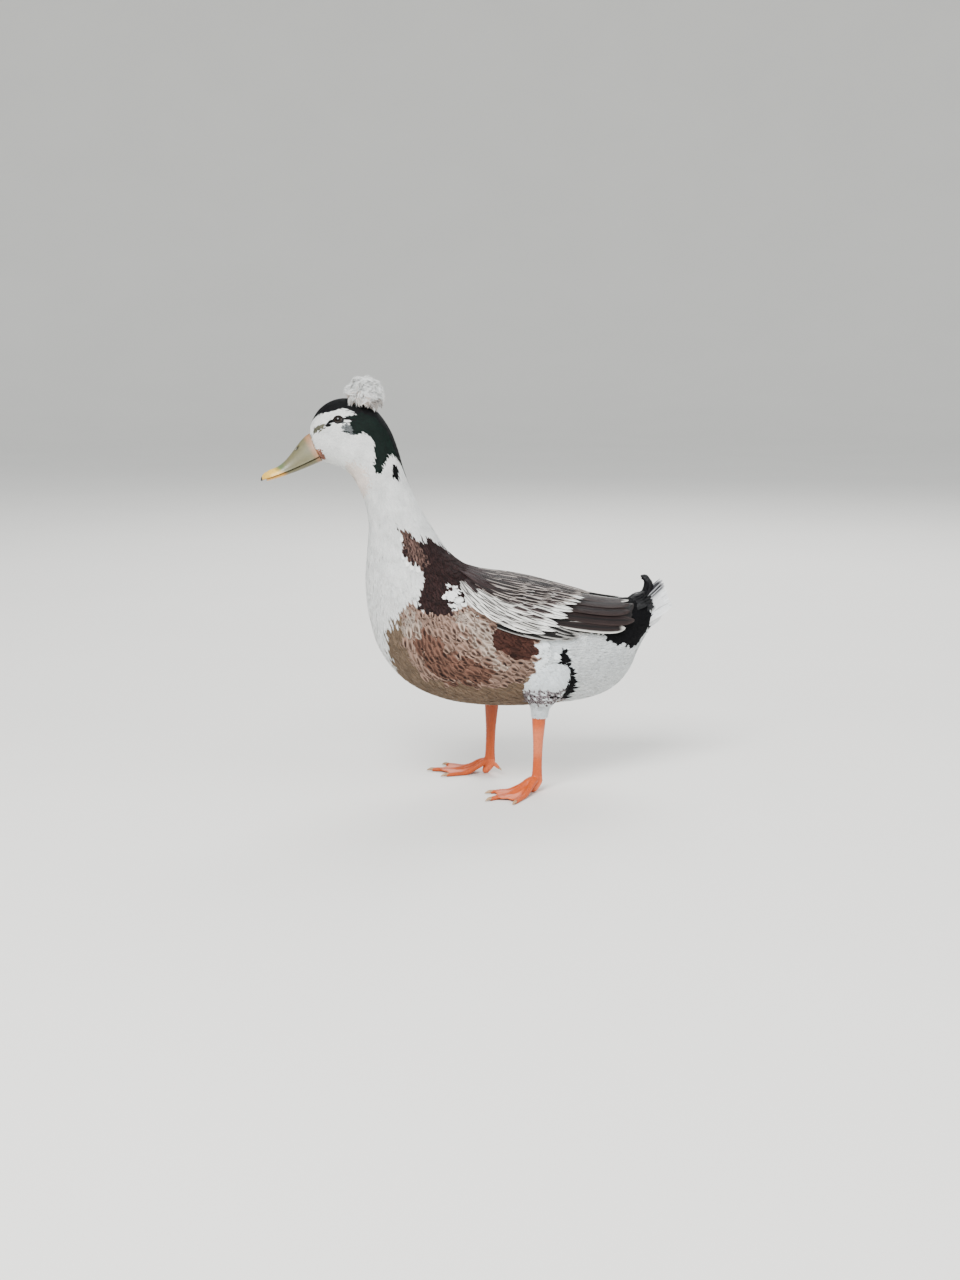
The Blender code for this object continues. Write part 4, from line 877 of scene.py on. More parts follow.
def tinted(name, roughness, noise_mm, low, high, bump_mm, coat_weight=0.0, ior=1.5, sheen=0.0, gloss=0.5):
    """A finish whose colour is carried on the piece's points and broken up by noise of a real size."""
    if name in bpy.data.materials:
        return bpy.data.materials[name]
    material, tree, principled = shader(name, roughness, sheen, coat_weight, ior, gloss)
    node = partial(add_node, tree)
    colour = node("ShaderNodeAttribute", attribute_name="tint")["Color"]
    place = node("ShaderNodeTexCoord")["Object"]
    noise = node("ShaderNodeTexNoise", {"Scale": 1 / (noise_mm * MM), "Detail": 4.0, "Vector": place})[0]
    shade, rough = (
        node("ShaderNodeMapRange", {"Value": noise, "From Min": 0.3, "From Max": 0.7, "To Min": least,
                                    "To Max": most})[0]
        for least, most in ((low, high), (roughness * 0.85, min(1.0, roughness * 1.15))))
    tone = node("ShaderNodeVectorMath", {0: colour, 1: shade}, operation="MULTIPLY")[0]
    bump = node("ShaderNodeBump", {"Strength": 0.5, "Distance": bump_mm * MM, "Height": noise})[0]
    for key, socket in (("Base Color", tone), ("Roughness", rough), ("Normal", bump)):
        tree.links.new(socket, principled.inputs[key])
    return material


def skin_finish():
    """Bird skin with fine down over it, in the colour of the coat above."""
    return tinted("downy skin", 0.9, 3.0, 0.8, 1.0, 0.3, sheen=0.1)


def leg_frame(name):
    """Middle of the leg on the floor, and the foot's forward and inward directions."""
    side = SIDES[name]
    joint_x, toe_out = LEG_PLACES[name][:2]
    angle = math.radians(toe_out) * side
    ahead = np.array((-math.cos(angle), math.sin(angle), 0.0))
    return np.array((joint_x, side * STANCE, 0.0)), ahead, np.array((-ahead[1], ahead[0], 0.0)) * side


def thigh_surface(name, shrink=0.0):
    """Surface of a thigh by distance down from its top and turn round it."""
    side = SIDES[name]
    root, ahead, _ = leg_frame(name)
    base = root - ahead * HOCK_BACK
    rows = np.array(THIGH_SECTIONS)[::-1]

    def surface(down, turn):
        height = THIGH_TOP - np.asarray(down, float)
        back, out, depth, width = (np.interp(height, rows[::-1, 0], rows[::-1, k]) for k in (1, 2, 3, 4))
        x = base[0] + back + (depth - shrink) * np.cos(turn)
        y = base[1] + side * out + (width - shrink) * np.sin(turn)
        return np.stack(np.broadcast_arrays(x, y, height), -1)

    return surface


def wing_lift(s, degrees):
    """How far the wing's core stands over the body."""
    a = (np.asarray(s, float) - WING_FRONT) / (WING_REAR - WING_FRONT)
    top, low = curve_through(WING_TOP, a), curve_through(WING_LOW, a)
    b = np.clip((degrees - top) / np.maximum(1.0, low - top), 0.0, 1.0)
    return curve_through(WING_LIFT, a) * np.sqrt(np.sin(np.pi * (0.03 + 0.94 * b)))


def edge_share(degrees):
    """Share of the lift that is left towards the wing's upper edge, which lies down on the back."""
    return np.clip((degrees - 16.5) / 16.0, 0.08, 1.0) ** 0.8


def wing_core(side):
    """Closed core of the folded wing, a little inside the shape that its feathers make."""
    rows, columns = 24, 14
    a, b = np.meshgrid(np.linspace(0, 1, rows), np.linspace(0, 1, columns), indexing="ij")
    s = WING_FRONT + (WING_REAR - WING_FRONT) * a
    degrees = curve_through(WING_TOP, a) * (1 - b) + curve_through(WING_LOW, a) * b
    turn = -side * np.radians(degrees)
    normal = outward(body, s, turn)
    top = body(s, turn) + normal * ((wing_lift(s, degrees) - 1.2) * edge_share(degrees))[..., None]
    bottom = body(s, turn) - normal * 6.0
    return plate(top, bottom)


def laid_tier(tier, side, draw):
    """A tier of wing feathers on one side."""
    share = np.linspace(0, 1, tier.count)
    loose = min(1.0, tier.count / 8)
    first, last = np.array(tier.first), np.array(tier.last)
    root, tip = (blend(first[k], last[k], share[:, None]) + draw.normal(0, 1, (tier.count, 2)) * stray * loose
                 for k, stray in ((0, (0.09, 1.0)), (1, (0.13, 1.5))))
    low, high = (lift * edge_share(end[:, 1]) + draw.normal(0, 0.12, tier.count)
                 for lift, end in zip(tier.lifts, (root, tip)))
    root_turn, tip_turn = (-side * np.radians(end[:, 1]) for end in (root, tip))
    made = lay(body, root[:, 0], root_turn, tip[:, 0], tip_turn, (low, low * 0.45 + high * 0.55 + 0.4, high),
               tier.half_width, side * VANE_TILT)
    made["s"], made["turn"] = root[:, 0], root_turn
    upper = share + draw.normal(0, 0.20, tier.count) * loose > 0.5
    return painted(made, draw, [tier.looks[int(one)] for one in upper])


class DuckSettings(bpy.types.PropertyGroup):
    """Sizes and colours of the duck that a user would change."""

    crest_locks: bpy.props.IntProperty(name="Crest locks", description="Locks in the tuft", default=150)
    lock_strands: bpy.props.IntProperty(name="Lock strands", description="Feathers in each lock", default=31)
    crest_ruffle: bpy.props.FloatProperty(
        name="Crest ruffle", description="How unruly the tuft is", default=0.5)
    feather_ruffle: bpy.props.FloatProperty(
        name="Feather ruffle", description="How far the tips of body feathers stray", default=0.05)
    leg_voxel: bpy.props.FloatProperty(
        name="Leg detail", description="Finest form of the leg skin in millimetres", default=0.62)
    skin_voxel: bpy.props.FloatProperty(
        name="Skin detail", description="Finest form of the body skin in millimetres", default=2.0)
    scale_size: bpy.props.FloatProperty(
        name="Scale size", description="Distance between small leg scales in millimetres", default=1.35)
    bill_olive: bpy.props.FloatVectorProperty(
        name="Bill", description="Colour of the bill's sides",
        subtype="COLOR", default=tuple(linear("#605b3c")))
    bill_tip: bpy.props.FloatVectorProperty(
        name="Bill tip", description="Colour of the bill's tip",
        subtype="COLOR", default=tuple(linear("#d9ad3f")))
    leg_orange: bpy.props.FloatVectorProperty(
        name="Legs", description="Colour of shanks and toes",
        subtype="COLOR", default=tuple(linear("#b24600")))
    web_salmon: bpy.props.FloatVectorProperty(
        name="Webs", description="Colour of the webs",
        subtype="COLOR", default=tuple(linear("#dc6a38")))
    floor_tone: bpy.props.FloatVectorProperty(
        name="Floor", description="Colour of the floor",
        subtype="COLOR", default=tuple(linear("#e4e2dd")))


class DUCK_OT_skin(bpy.types.Operator):
    """Make the seamless skin under the coat."""

    bl_idname = "duck.skin"
    bl_label = "Skin"

    def execute(self, context):
        turns = ring_turns(96)
        rings = []
        for s in np.arange(0, RUMP_END + 0.01, 0.2):
            at = np.full(len(turns), min(s, RUMP_END - 0.05))
            rings.append(body(at, turns) - outward(body, at, turns) * coat(COAT_DEPTHS, s))
        shapes = [tube(rings)]
        for name, side in SIDES.items():
            surface = thigh_surface(name, 3.0)
            shapes.append(tube([surface(np.full(40, down), ring_turns(40))
                                for down in np.linspace(0, THIGH_LENGTH, 24)]))
            shapes.append(wing_core(side))
        made = new_piece("skin", *joined(shapes), skin_finish(), "body_plumage")
        fuse(made, context.scene.duck.skin_voxel, 4)
        points, _ = mesh_points(made.data)
        names = looks_at(*body_places(points))
        names[(points[:, 2] < 92) & (points[:, 2] > 60)] = "vent"
        colours = {name: linear(look.ground) for name, look in LOOKS.items()}
        write_attribute(made.data, "tint", np.array([colours[name] for name in names]), "FLOAT_COLOR")
        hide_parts("torso", "neck", "head", "thigh_left", "thigh_right")
        return {"FINISHED"}


class DUCK_OT_small_feathers(bpy.types.Operator):
    """Lay the small feathers of head, neck, body and thighs."""

    bl_idname = "duck.small_feathers"
    bl_label = "Small feathers"

    def execute(self, context):
        draw = np.random.default_rng(11)
        ruffle = context.scene.duck.feather_ruffle
        # Velvet on the head, matt and fluffy on neck and body, and smoother browns that show each edge.
        velvet = plumage("small head feathers", 0.62, 0.14, 20.0, 0.03, 0.30)
        white = plumage("soft contour feathers", 0.85, 0.12, 40.0, 0.04, 0.40)
        brown = plumage("spotted flank feathers", 0.80, 0.14, 60.0, 0.06)
        head = tract(0.05, HEAD_END, draw, length=3.4, width=0.95, stray=0.14)
        head = chosen(head, clear_of_eyes(head["root"], head["root"] + head["reach"]))
        grow("coat_head", painted(head, draw), "silk", velvet, ruffle, 2)
        neck = tract(HEAD_END - 0.4, NECK_END + 0.2, draw, aspect=0.50, length=3.8, width=1.0, stray=0.10)
        grow("coat_neck", painted(neck, draw), "silk", white, ruffle, 3)

        def bare(s, turn):
            return ~inside(WING_COVER, s, from_back(turn)) & (s < RUMP_END - 0.6)

        front = tract(NECK_END - 0.2, BREAST_END, draw, lambda s, turn: bare(s, turn) & (s < BREAST_END),
                      aspect=0.50, length=3.6, width=0.95)
        grow("coat_breast", painted(front, draw), "plume", white, ruffle, 4)
        for name, side in SIDES.items():
            rear = tract(BREAST_END - 0.2, BACK_END, draw,
                         lambda s, turn: bare(s, turn) & (turn * side <= 0), aspect=0.58, length=3.4,
                         width=0.95)
            grow("coat_body_" + name, painted(rear, draw), "plume", white, ruffle, 5)
        rump = tract(BACK_END - 0.2, RUMP_END, draw, bare, aspect=0.60, length=3.2)
        grow("coat_rump", painted(rump, draw), "plume", white, ruffle, 6)
        # Longer feathers lie over the coat on flanks and shoulders, and droop.
        flanks = next(region.outline for region in REGIONS if region.look == "flank")
        shoulders = max((region.outline for region in REGIONS if region.look == "maroon"), key=len)

        def on_flank(s, turn):
            return inside(flanks, s + draw.normal(0, 0.08, len(s)), from_back(turn)) & (s > 14.9)

        def on_shoulder(s, turn):
            return inside(shoulders, s + draw.normal(0, 0.05, len(s)), from_back(turn))

        flank = tract(14.6, 19.7, draw, on_flank, pitch=1.45, aspect=0.62, length=3.4, width=0.88, droop=1.0,
                      raised=0.7, stray=0.20)
        grow("coat_flanks", painted(flank, draw), "round", brown, ruffle, 7)
        shoulder = tract(11.2, 16.0, draw, on_shoulder, pitch=1.2, aspect=0.62, length=3.0, width=0.85,
                         droop=0.6, raised=0.4, stray=0.14)
        grow("coat_shoulders", painted(shoulder, draw), "round", brown, ruffle, 8)
        for name, side in SIDES.items():
            thigh = self.thigh(name, side, draw)
            grow("coat_thigh_" + name, thigh, "plume", white, ruffle, 9)
        return {"FINISHED"}

    def thigh(self, name, side, draw):
        """Feathers of a thigh, which point down and back."""
        surface = thigh_surface(name)
        rows = []
        down, row = 2.0, 0
        while down < THIGH_LENGTH - 1:
            step = np.interp(down, (0, 40, 71), (3.4, 2.7, 1.6))
            ring = surface(np.full(33, down), np.linspace(0, 2 * np.pi, 33))
            around = np.linalg.norm(np.diff(ring, axis=0), axis=1).sum()
            count = int(around / (step * 0.75))
            turns = (np.arange(count) + 0.5 * (row % 2)) * 2 * np.pi / count
            rows.append(np.stack(np.broadcast_arrays(down, turns, step), 1))
            down += step
            row += 1
        down, turn, step = np.concatenate(rows).T
        down = down + draw.normal(0, 0.2, len(down)) * step
        turn = turn + draw.normal(0, 0.03, len(down))
        reach = step * 3.8 * draw.uniform(0.85, 1.15, len(down))
        low = smooth((down - 36) / 8) * (1 - smooth((down - 58) / 6))
        tip = np.minimum(down + reach * (0.85 - 0.45 * low), 74.5)
        back = -(0.035 + 0.03 * low) * reach * np.sin(turn) + draw.normal(0, 0.05, len(down))

        def normal_of(u, v):
            return -outward(surface, u, v, 0.5, 0.02) * flip

        # At turn 0 the thigh faces the tail, which tells which of its normals point out.
        probe = outward(surface, np.array([30.0]), np.array([0.0]), 0.5, 0.02)[0]
        flip = -1.0 if probe[0] > 0 else 1.0
        made = lay(surface, down, turn, tip, turn + back, (-2.6, -0.6, 0.1), step * 0.72, 0.0, normal_of)
        height = made["root"][:, 2] + made["reach"][:, 2] * 0.6
        names = np.full(len(down), "thigh", object)
        edge = height + draw.normal(0, 1.2, len(height))
        outside = np.sin(turn) * side > -0.3
        # Dark bars that curve round the lower thigh and run together at its rear.
        phase = np.mod(edge / 5.4 + 0.5 * np.cos(turn), 1.0)
        barred = (edge < 109) & outside & (phase < 0.75)
        names[barred] = "streaked"
        names[barred & (draw.random(len(down)) < 0.15 + 0.25 * np.cos(turn))] = "black"
        names[(edge < 136 - 60 * (1 - np.cos(turn))) & (np.cos(turn) > 0.62)] = "black"
        names[edge < 92] = "thigh"
        made["looks"] = names
        lap = np.mod(turn, 2 * np.pi) / (2 * np.pi)
        made["place"] = np.stack([0.02 + 0.95 * down / 75, 0.02 + 0.95 * lap, np.zeros(len(down))], 1)
        return painted(made, draw)


class DUCK_OT_wings(bpy.types.Operator):
    """Lay the folded wings: flight feathers, coverts and scapulars."""

    bl_idname = "duck.wings"
    bl_label = "Wings"

    def execute(self, context):
        draw = np.random.default_rng(23)
        # Firm close-barbed vanes with a low sheen, and softer coverts over them.
        quill = plumage("wing quills", 0.60, 0.22, 130.0, 0.12)
        covert = plumage("wing coverts", 0.68, 0.20, 90.0, 0.10)
        for name, side in SIDES.items():
            flights = merged([laid_tier(tier, side, draw) for tier in FLIGHTS])
            made = grow("flights_" + name, flights, "flight", quill, 0.03, 31)
            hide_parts("wing_" + name)
            coverts = merged([laid_tier(tier, side, draw) for tier in COVERTS])
            grow("coverts_" + name, coverts, "pointed", covert, 0.10, 32)
            scapulars = merged([laid_tier(tier, side, draw) for tier in SCAPULARS])
            grow("scapulars_" + name, scapulars, "pointed", covert, 0.08, 33)
        return {"FINISHED"}


class DUCK_OT_tail(bpy.types.Operator):
    """Lay the tail: its fans, their coverts and the drake's curled feathers."""

    bl_idname = "duck.tail"
    bl_label = "Tail"

    def execute(self, context):
        draw = np.random.default_rng(37)
        groups = {"flight": [], "pointed": []}
        for side in SIDES.values():
            for fan in TAIL_FANS:
                groups[fan.vane].append(self.fan(fan, side, draw))
        # The tail's firm quills have the highest sheen of the plumage.
        glossy = plumage("tail quills", 0.5, 0.25, 120.0, 0.05, 0.2)
        made = grow("tail_quills", merged(groups["flight"]), "flight", glossy, 0.02, 41)
        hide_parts("tail")
        grow("tail_coverts", merged(groups["pointed"]), "pointed", glossy, 0.04, 42)
        self.curls(glossy)
        return {"FINISHED"}

    def fan(self, fan, side, draw):
        """Feathers of one fan on one side."""
        share = np.linspace(0, 1, fan.count)[:, None]
        inner, outer = np.array(fan.inner), np.array(fan.outer)
        ends = []
        for k in (0, 1):
            point = blend(inner[k], outer[k], share) + draw.normal(0, 0.25, (fan.count, 3))
            point[:, 1] *= side
            ends.append(point)
        root, tip = ends
        reach = tip - root
        slope = np.radians(blend(*fan.slopes, share))
        over = unit(np.stack([-reach[:, 2], np.zeros(fan.count), reach[:, 0]], 1))
        face = over * np.cos(slope) + SIDEWAYS * side * np.sin(slope)
        across = unit(np.cross(face, reach))
        face = unit(np.cross(reach, across))
        tilt = side * VANE_TILT * np.sign(np.cos(slope))
        s, turn = body_places(root)
        made = {
            "root": root, "reach": reach, "bow": over * 8.0, "side": (across + face * tilt) * fan.half_width,
            "face": face * fan.half_width, "s": s, "turn": turn,
        }
        looks = [fan.looks[0] if i < fan.count * 0.2 else fan.looks[1] for i in range(fan.count)]
        return painted(made, draw, looks)

    def curls(self, material):
        """The drake's curled feathers, each a closed ribbon along a curl."""
        steps, columns = 22, 5
        share = np.linspace(0, 1, steps)
        q = np.linspace(-1, 1, columns)[:, None]
        path = np.array([(x, 0.0, z) for x, z in CURL_PATH])
        width = curve_through(CURL_HALF_WIDTHS, share)
        shapes = []
        for side in SIDES.values():
            for y, back, size in CURLS:
                line = np.stack([curve_through(path[:, k], share) for k in range(3)], 1)
                line = line[0] + (line - line[0]) * size + np.array((back, side * y, 0.0))
                ahead = unit(np.gradient(line, axis=0))
                up = unit(np.cross(ahead, SIDEWAYS))
                top, bottom = [], []
                for i in range(steps):
                    across = unit(SIDEWAYS * 0.5 * side + up[i] * 0.86)
                    middle = line[i] + across * q * width[i] * 0.8
                    face = unit(np.cross(across, ahead[i]))
                    top.append(middle + face * 0.45 * (1.05 - np.abs(q)))
                    bottom.append(middle - face * 0.25 * (1.05 - np.abs(q)))
                shapes.append(plate(top, bottom))
        made = new_piece("tail_curls", *joined(shapes), material, "tail_plumage")
        count = len(made.data.vertices)
        look = LOOKS["black"]
        for key, colour in (("ground", look.ground), ("fringe", "#24242c"), ("spot", look.spot)):
            write_attribute(made.data, key, np.tile(linear(colour), (count, 1)), "FLOAT_COLOR")
        write_attribute(made.data, "marks", np.tile((0.4, 0.0, 0.3), (count, 1)))
        layer = np.stack([np.repeat(np.linspace(0.3, 1, steps), columns), np.tile(q[:, 0], steps),
                          np.zeros(steps * columns)], 1)
        vane = np.tile(layer, (2 * len(shapes), 1))
        write_attribute(made.data, "vane", vane)
        # Every curl has its own patch on the bake map.
        uv = made.data.uv_layers.new(name="OFBake")
        corner = np.zeros(len(made.data.loops), np.int32)
        made.data.loops.foreach_get("vertex_index", corner)
        place = np.stack([0.2 + 0.1 * (corner // (2 * len(layer))), np.full(len(corner), 0.5)], 1)
        uv.data.foreach_set("uv", (place + vane[corner, :2] * BAKE_PATCH).astype(np.float32).ravel())


class DUCK_OT_crest(bpy.types.Operator):
    """Make the tuft on the back of the crown."""

    bl_idname = "duck.crest"
    bl_label = "Crest"

    def execute(self, context):
        settings = context.scene.duck
        draw = np.random.default_rng(53)
        centre = turned(np.array((CREST_AT[0], 0.0, CREST_AT[1])), 1.0)
        around = ring_turns(32)
        rings = [centre + CREST_CORE * np.stack([np.cos(high) * np.cos(around), np.cos(high) * np.sin(around),
                                                 np.full(32, np.sin(high))], 1)
                 for high in np.linspace(-1.45, 1.45, 15)]
        new_piece("crest_core", *tube(rings), skin_finish(), "pale_plumage", linear("#c9c8c4"))
        locks, strands = settings.crest_locks, settings.lock_strands
        i = np.arange(locks)
        # Locks spread evenly over a ball, from its top down to a little under its middle.
        up = 1 - 1.42 * (i + 0.5) / locks
        flat = np.sqrt(1 - up * up)
        golden = math.pi * (3 - math.sqrt(5))
        heading = np.stack([flat * np.cos(i * golden), flat * np.sin(i * golden), up], 1)
        sweep = np.stack([draw.uniform(-0.2, 1.0, locks), draw.uniform(-0.8, 0.8, locks),
                          draw.uniform(-0.7, 0.3, locks)], 1)
        lean = unit(sweep - heading * np.sum(sweep * heading, axis=1, keepdims=True))
        lean *= draw.uniform(0.30, 0.85, (locks, 1))
        low = smooth(-up / 0.3)
        fuller = np.where(heading[:, 0] > 0.1, 0.06, -0.22)
        length = CREST_REACH * draw.uniform(0.86, 1.0, locks) * (1 + low * fuller)
        # Strands of a lock leave the core side by side, bend over and draw together at its tip.
        lock = np.repeat(i, strands)
        count = len(lock)
        out, over = heading[lock], lean[lock]
        root = centre + unit(out + draw.normal(0, 0.30, (count, 3))) * CREST_CORE * 0.85
        size = length[lock, None] * draw.uniform(0.84, 1.0, (count, 1))
        tip = centre + unit(out + over + draw.normal(0, 0.09, (count, 3))) * size
        middle = centre + unit(out + 0.22 * over + draw.normal(0, 0.13, (count, 3))) * size * 0.80
        reach = tip - root
        across = unit(np.cross(reach, out + draw.normal(0, 0.35, (count, 3))))
        face = unit(np.cross(reach, across))
        width = draw.uniform(0.26, 0.54, (count, 1))
        azimuth = (np.arctan2(out[:, 1], out[:, 0]) + np.pi) / (2 * np.pi)
        made = {
            "root": root, "reach": reach, "bow": 4 * (middle - (root + tip) / 2),
            "side": across * width, "face": face * width,
            "place": np.stack([0.05 + 0.9 * azimuth, 0.05 + 0.9 * (up[lock] + 1) / 2, np.zeros(count)], 1),
        }
        white = Look("#f4f5f2", "#ffffff", "#cfcdc8", (0.4, 0.0, 0.2), 0.05)
        # The lowest feathers at the back of the tuft are painted grey: painted shade under the tuft.
        shaded_grey = Look("#b0a69f", "#d6d0cb", "#857b75", (0.4, 0.0, 0.3), 0.12)
        cream = Look("#dccdc1", "#efe7e0", "#a99a8f", (0.4, 0.0, 0.2), 0.08)
        level = up[lock] + draw.normal(0, 0.14, count)
        front = out[:, 0] + draw.normal(0, 0.15, count)
        looks = [shaded_grey if h < -0.2 and x > 0 else cream if h < 0.05 and x < 0 else white
                 for h, x in zip(level, front)]
        # The tuft's loose feathers are the softest, and light goes right through their edges.
        material = plumage("tuft feathers", 0.8, 0.25, 60.0, 0.05, 0.5)
        tuft = grow("crest_tuft", painted(made, draw, looks), "strand", material,
                    settings.crest_ruffle, 61)
        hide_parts("crest")
        return {"FINISHED"}


BILL_AHEAD = unit(np.array((BILL_TIP[0] - BILL_ROOT[0], 0.0, BILL_TIP[1] - BILL_ROOT[1])))
NAIL_BLACK, LIP_TAN = linear("#15120f"), linear("#c79a72")


def mouth_point(t):
    """Points on the edge of the mouth at shares of the bill."""
    x, z = (blend(root, tip, t) for root, tip in zip(BILL_ROOT, BILL_TIP))
    return np.array((x, 0.0, z - BILL_SAG * math.sin(math.pi * t)))


def bill_half_width(t):
    """Half width of the bill, with its waist and its round spoon."""
    waist = blend(BILL_HALF_WIDTH, BILL_WAIST, smooth(t / 0.45))
    width = waist + (BILL_SPOON - BILL_WAIST) * smooth((t - 0.45) / 0.30)
    if t > SPOON_START:
        past = (t - SPOON_START) / (1 - SPOON_START)
        width = width * math.sqrt(max(0.0, 1 - past * past))
    return float(width)


def bill_height(t):
    """Height of the upper bill over the edge of the mouth."""
    height = CULMEN_FLAT + (CULMEN_HEIGHT - CULMEN_FLAT) * (1 - smooth(t / 0.78)) ** 1.15
    height = height * (1 - 0.50 * smooth((t - 0.82) / 0.18))
    past = max(0.0, (t - 0.95) / 0.05)
    return float(height * math.sqrt(max(0.02, 1 - past * past)))


def bill_up(t):
    """Upward direction of a section of the bill."""
    lean = unit(np.array((STATIONS[0, 0] - STATIONS[0, 2], 0.0, STATIONS[0, 1] - STATIONS[0, 3])))
    square = np.array((BILL_AHEAD[2], 0.0, -BILL_AHEAD[0]))
    return unit(blend(lean, square, smooth(t / 0.35)))


def bill_shares():
    """Shares of the bill where it has a ring, closer together towards the tip."""
    return np.concatenate([np.linspace(0.0, 0.80, 41), np.linspace(0.81, 0.95, 15),
                           (0.96, 0.97, 0.978, 0.985, 0.990, 0.994, 0.997, 0.999)])


class DUCK_OT_bill(bpy.types.Operator):
    """Make the upper and the lower bill."""

    bl_idname = "duck.bill"
    bl_label = "Bill"

    def execute(self, context):
        settings = context.scene.duck
        # Living horn: smooth but not polished, faintly cloudy, with a thin waxy shine.
        horn = tinted("keratin bill", 0.46, 3.0, 0.84, 1.07, 0.07, coat_weight=0.10, ior=1.54)
        points, faces, colours = self.upper(settings)
        upper = new_piece("bill_upper_horn", points, faces, horn, "bill", colours)
        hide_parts("bill_upper")
        self.nail()
        points, faces, colours = self.lower(settings)
        lower = new_piece("bill_lower_horn", points, faces, horn, "bill", colours)
        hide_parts("bill_lower")
        return {"FINISHED"}

    def nail(self):
        """The black nail, a shield that caps the tip of the upper bill and hooks down over it."""
        up = bill_up(1.0)
        centre = mouth_point(NAIL_AT) + up * 1.9
        long, wide, tall = NAIL_SIZE
        turns = ring_turns(32)[:, None]
        rings = []
        for angle in np.linspace(0.05, math.pi - 0.05, 22):
            along = -long * math.cos(angle)
            section = SIDEWAYS * np.cos(turns) * wide + up * np.sin(turns) * tall
            hook = max(0.0, along / long) ** 2 * 2.0
            ring = centre + BILL_AHEAD * along + section * math.sin(angle) - up * hook
            rings.append(turned(ring, np.ones(len(ring))))
        # Black horn, harder and shinier than the rest of the bill.
        horn = tinted("nail horn", 0.35, 2.0, 0.8, 1.1, 0.05, coat_weight=0.2, ior=1.54)
        new_piece("bill_nail", *tube(rings), horn, "bill", linear("#0f0c0a"))

    def colour(self, settings, t, height, y):
        """Colour of the bill at a share of its length and height, and how far out it lies."""
        root = (1 - smooth((t - 0.01 - 0.05 * height) / 0.09)) * 0.55
        edge = smooth((t - 0.55) / 0.15) * (1 - smooth(height / 0.30)) * 0.9
        saddle = smooth((t - 0.50) / 0.16) * (1 - smooth((t - 0.70) / 0.12)) * smooth(height * 1.6)
        tip = smooth((t - 0.66 + 0.10 * (1 - height)) / 0.12) * (0.55 + 0.45 * smooth(height / 0.3))
        nail = smooth((t - 0.935) / 0.02) * (1 - smooth((abs(y) - 0.30) / 0.12))
        made = np.array(settings.bill_olive)
        for other, share in (
                (linear("#a8714c"), root), (linear("#c77528"), edge), (linear("#506538"), saddle),
                (np.array(settings.bill_tip), tip), (NAIL_BLACK, nail)):
            made = blend(made, other, share)
        return made

    def upper(self, settings):
        """Upper bill with its ridge, nail, nostrils and rolled lower edge."""
        rings, colours = [], []
        sides = 44
        for t in bill_shares():
            up, middle, width, height = bill_up(t), mouth_point(t), bill_half_width(t), bill_height(t)
            ridge = 1.25 - 0.45 * smooth(t / 0.6)
            nail = smooth((t - 0.88) / 0.04) * (1 - smooth((t - 0.975) / 0.02))
            ring = []
            for k in range(sides + 1):
                y = math.cos(math.pi * k / sides)
                rise = max(0.0, 1 - abs(y) ** (2.0 / ridge)) ** (ridge * 0.62)
                point = middle + SIDEWAYS * width * y + up * height * rise
                # The nail is a raised shield in the middle of the tip.
                point = point + up * 0.9 * nail * (1 - smooth((abs(width * y) - 3.0) / 1.4))
                # Each nostril is a long pit high on the side, with a low rim.
                far = math.hypot((t - NOSTRIL_AT) * BILL_LENGTH / NOSTRIL_SIZE[0],
                                 (rise - NOSTRIL_HEIGHT) * height / NOSTRIL_SIZE[1])
                on_side = abs(y) > 0.15
                pit = (1 - smooth((far - 0.45) / 0.5)) * on_side
                rim = smooth((far - 0.8) / 0.25) * (1 - smooth((far - 1.15) / 0.5)) * on_side
                # The lower edge rolls out a little, like a lip.
                lip = (1 - smooth(rise * height / 1.6)) * smooth((t - 0.05) / 0.1)
                swell = 0.28 * rim + 0.35 * lip - 1.3 * pit
                point = point + SIDEWAYS * math.copysign(1.0, y) * swell - up * 0.5 * pit
                ring.append(turned(point, 1.0))
                # The nostril's pit is painted almost black: painted shade inside the opening.
                tone = blend(self.colour(settings, t, rise, y), linear("#17130f"), pit)
                # The lowest 0.9 mm of the upper bill, under its rolled edge, is painted darker: painted shade
                # where it meets the lower bill.
                colours.append(tone * (1 - 0.45 * (1 - smooth(rise * height / 0.9))))
            for share in (-0.55, 0.0, 0.55):
                ring.append(turned(middle + SIDEWAYS * width * share + up * 0.9, 1.0))
                colours.append(linear("#6f4a38"))
            rings.append(ring)
        points, faces = tube(rings)
        colours += [LIP_TAN, NAIL_BLACK]
        return points, faces, np.array(colours)

    def lower(self, settings):
        """Lower bill, a shallow tray with a fine toothed edge."""
        rings, colours = [], []
        for t in bill_shares():
            up, middle = bill_up(t), mouth_point(t * LOWER_BILL_REACH)
            width, depth = bill_half_width(t) * 0.86, KEEL_DEPTH * (1 - 0.55 * t)
            tooth = 0.12 * math.sin(t * 2 * math.pi * 34)
            ring = [middle + SIDEWAYS * width * y - up * 0.3 for y in (1.0, 0.45, -0.45, -1.0)]
            for k in range(1, 24):
                a = math.pi * k / 24
                out = (width + tooth * (1 - math.sin(a))) * math.cos(a)
                ring.append(middle - SIDEWAYS * out - up * (0.3 + depth * math.sin(a) ** 0.7))
            rings.append([turned(p, 1.0) for p in ring])
            tone = self.colour(settings, t * 0.97, 0.0, 1.0) * 0.92
            # The four points along the top of the lower bill, which lies under the upper bill, are painted at
            # six tenths: painted shade.
            colours += [tone * 0.6] * 4 + [tone] * 23
        points, faces = tube(rings)
        colours += [LIP_TAN, linear("#e0cf8a")]
        return points, faces, np.array(colours)


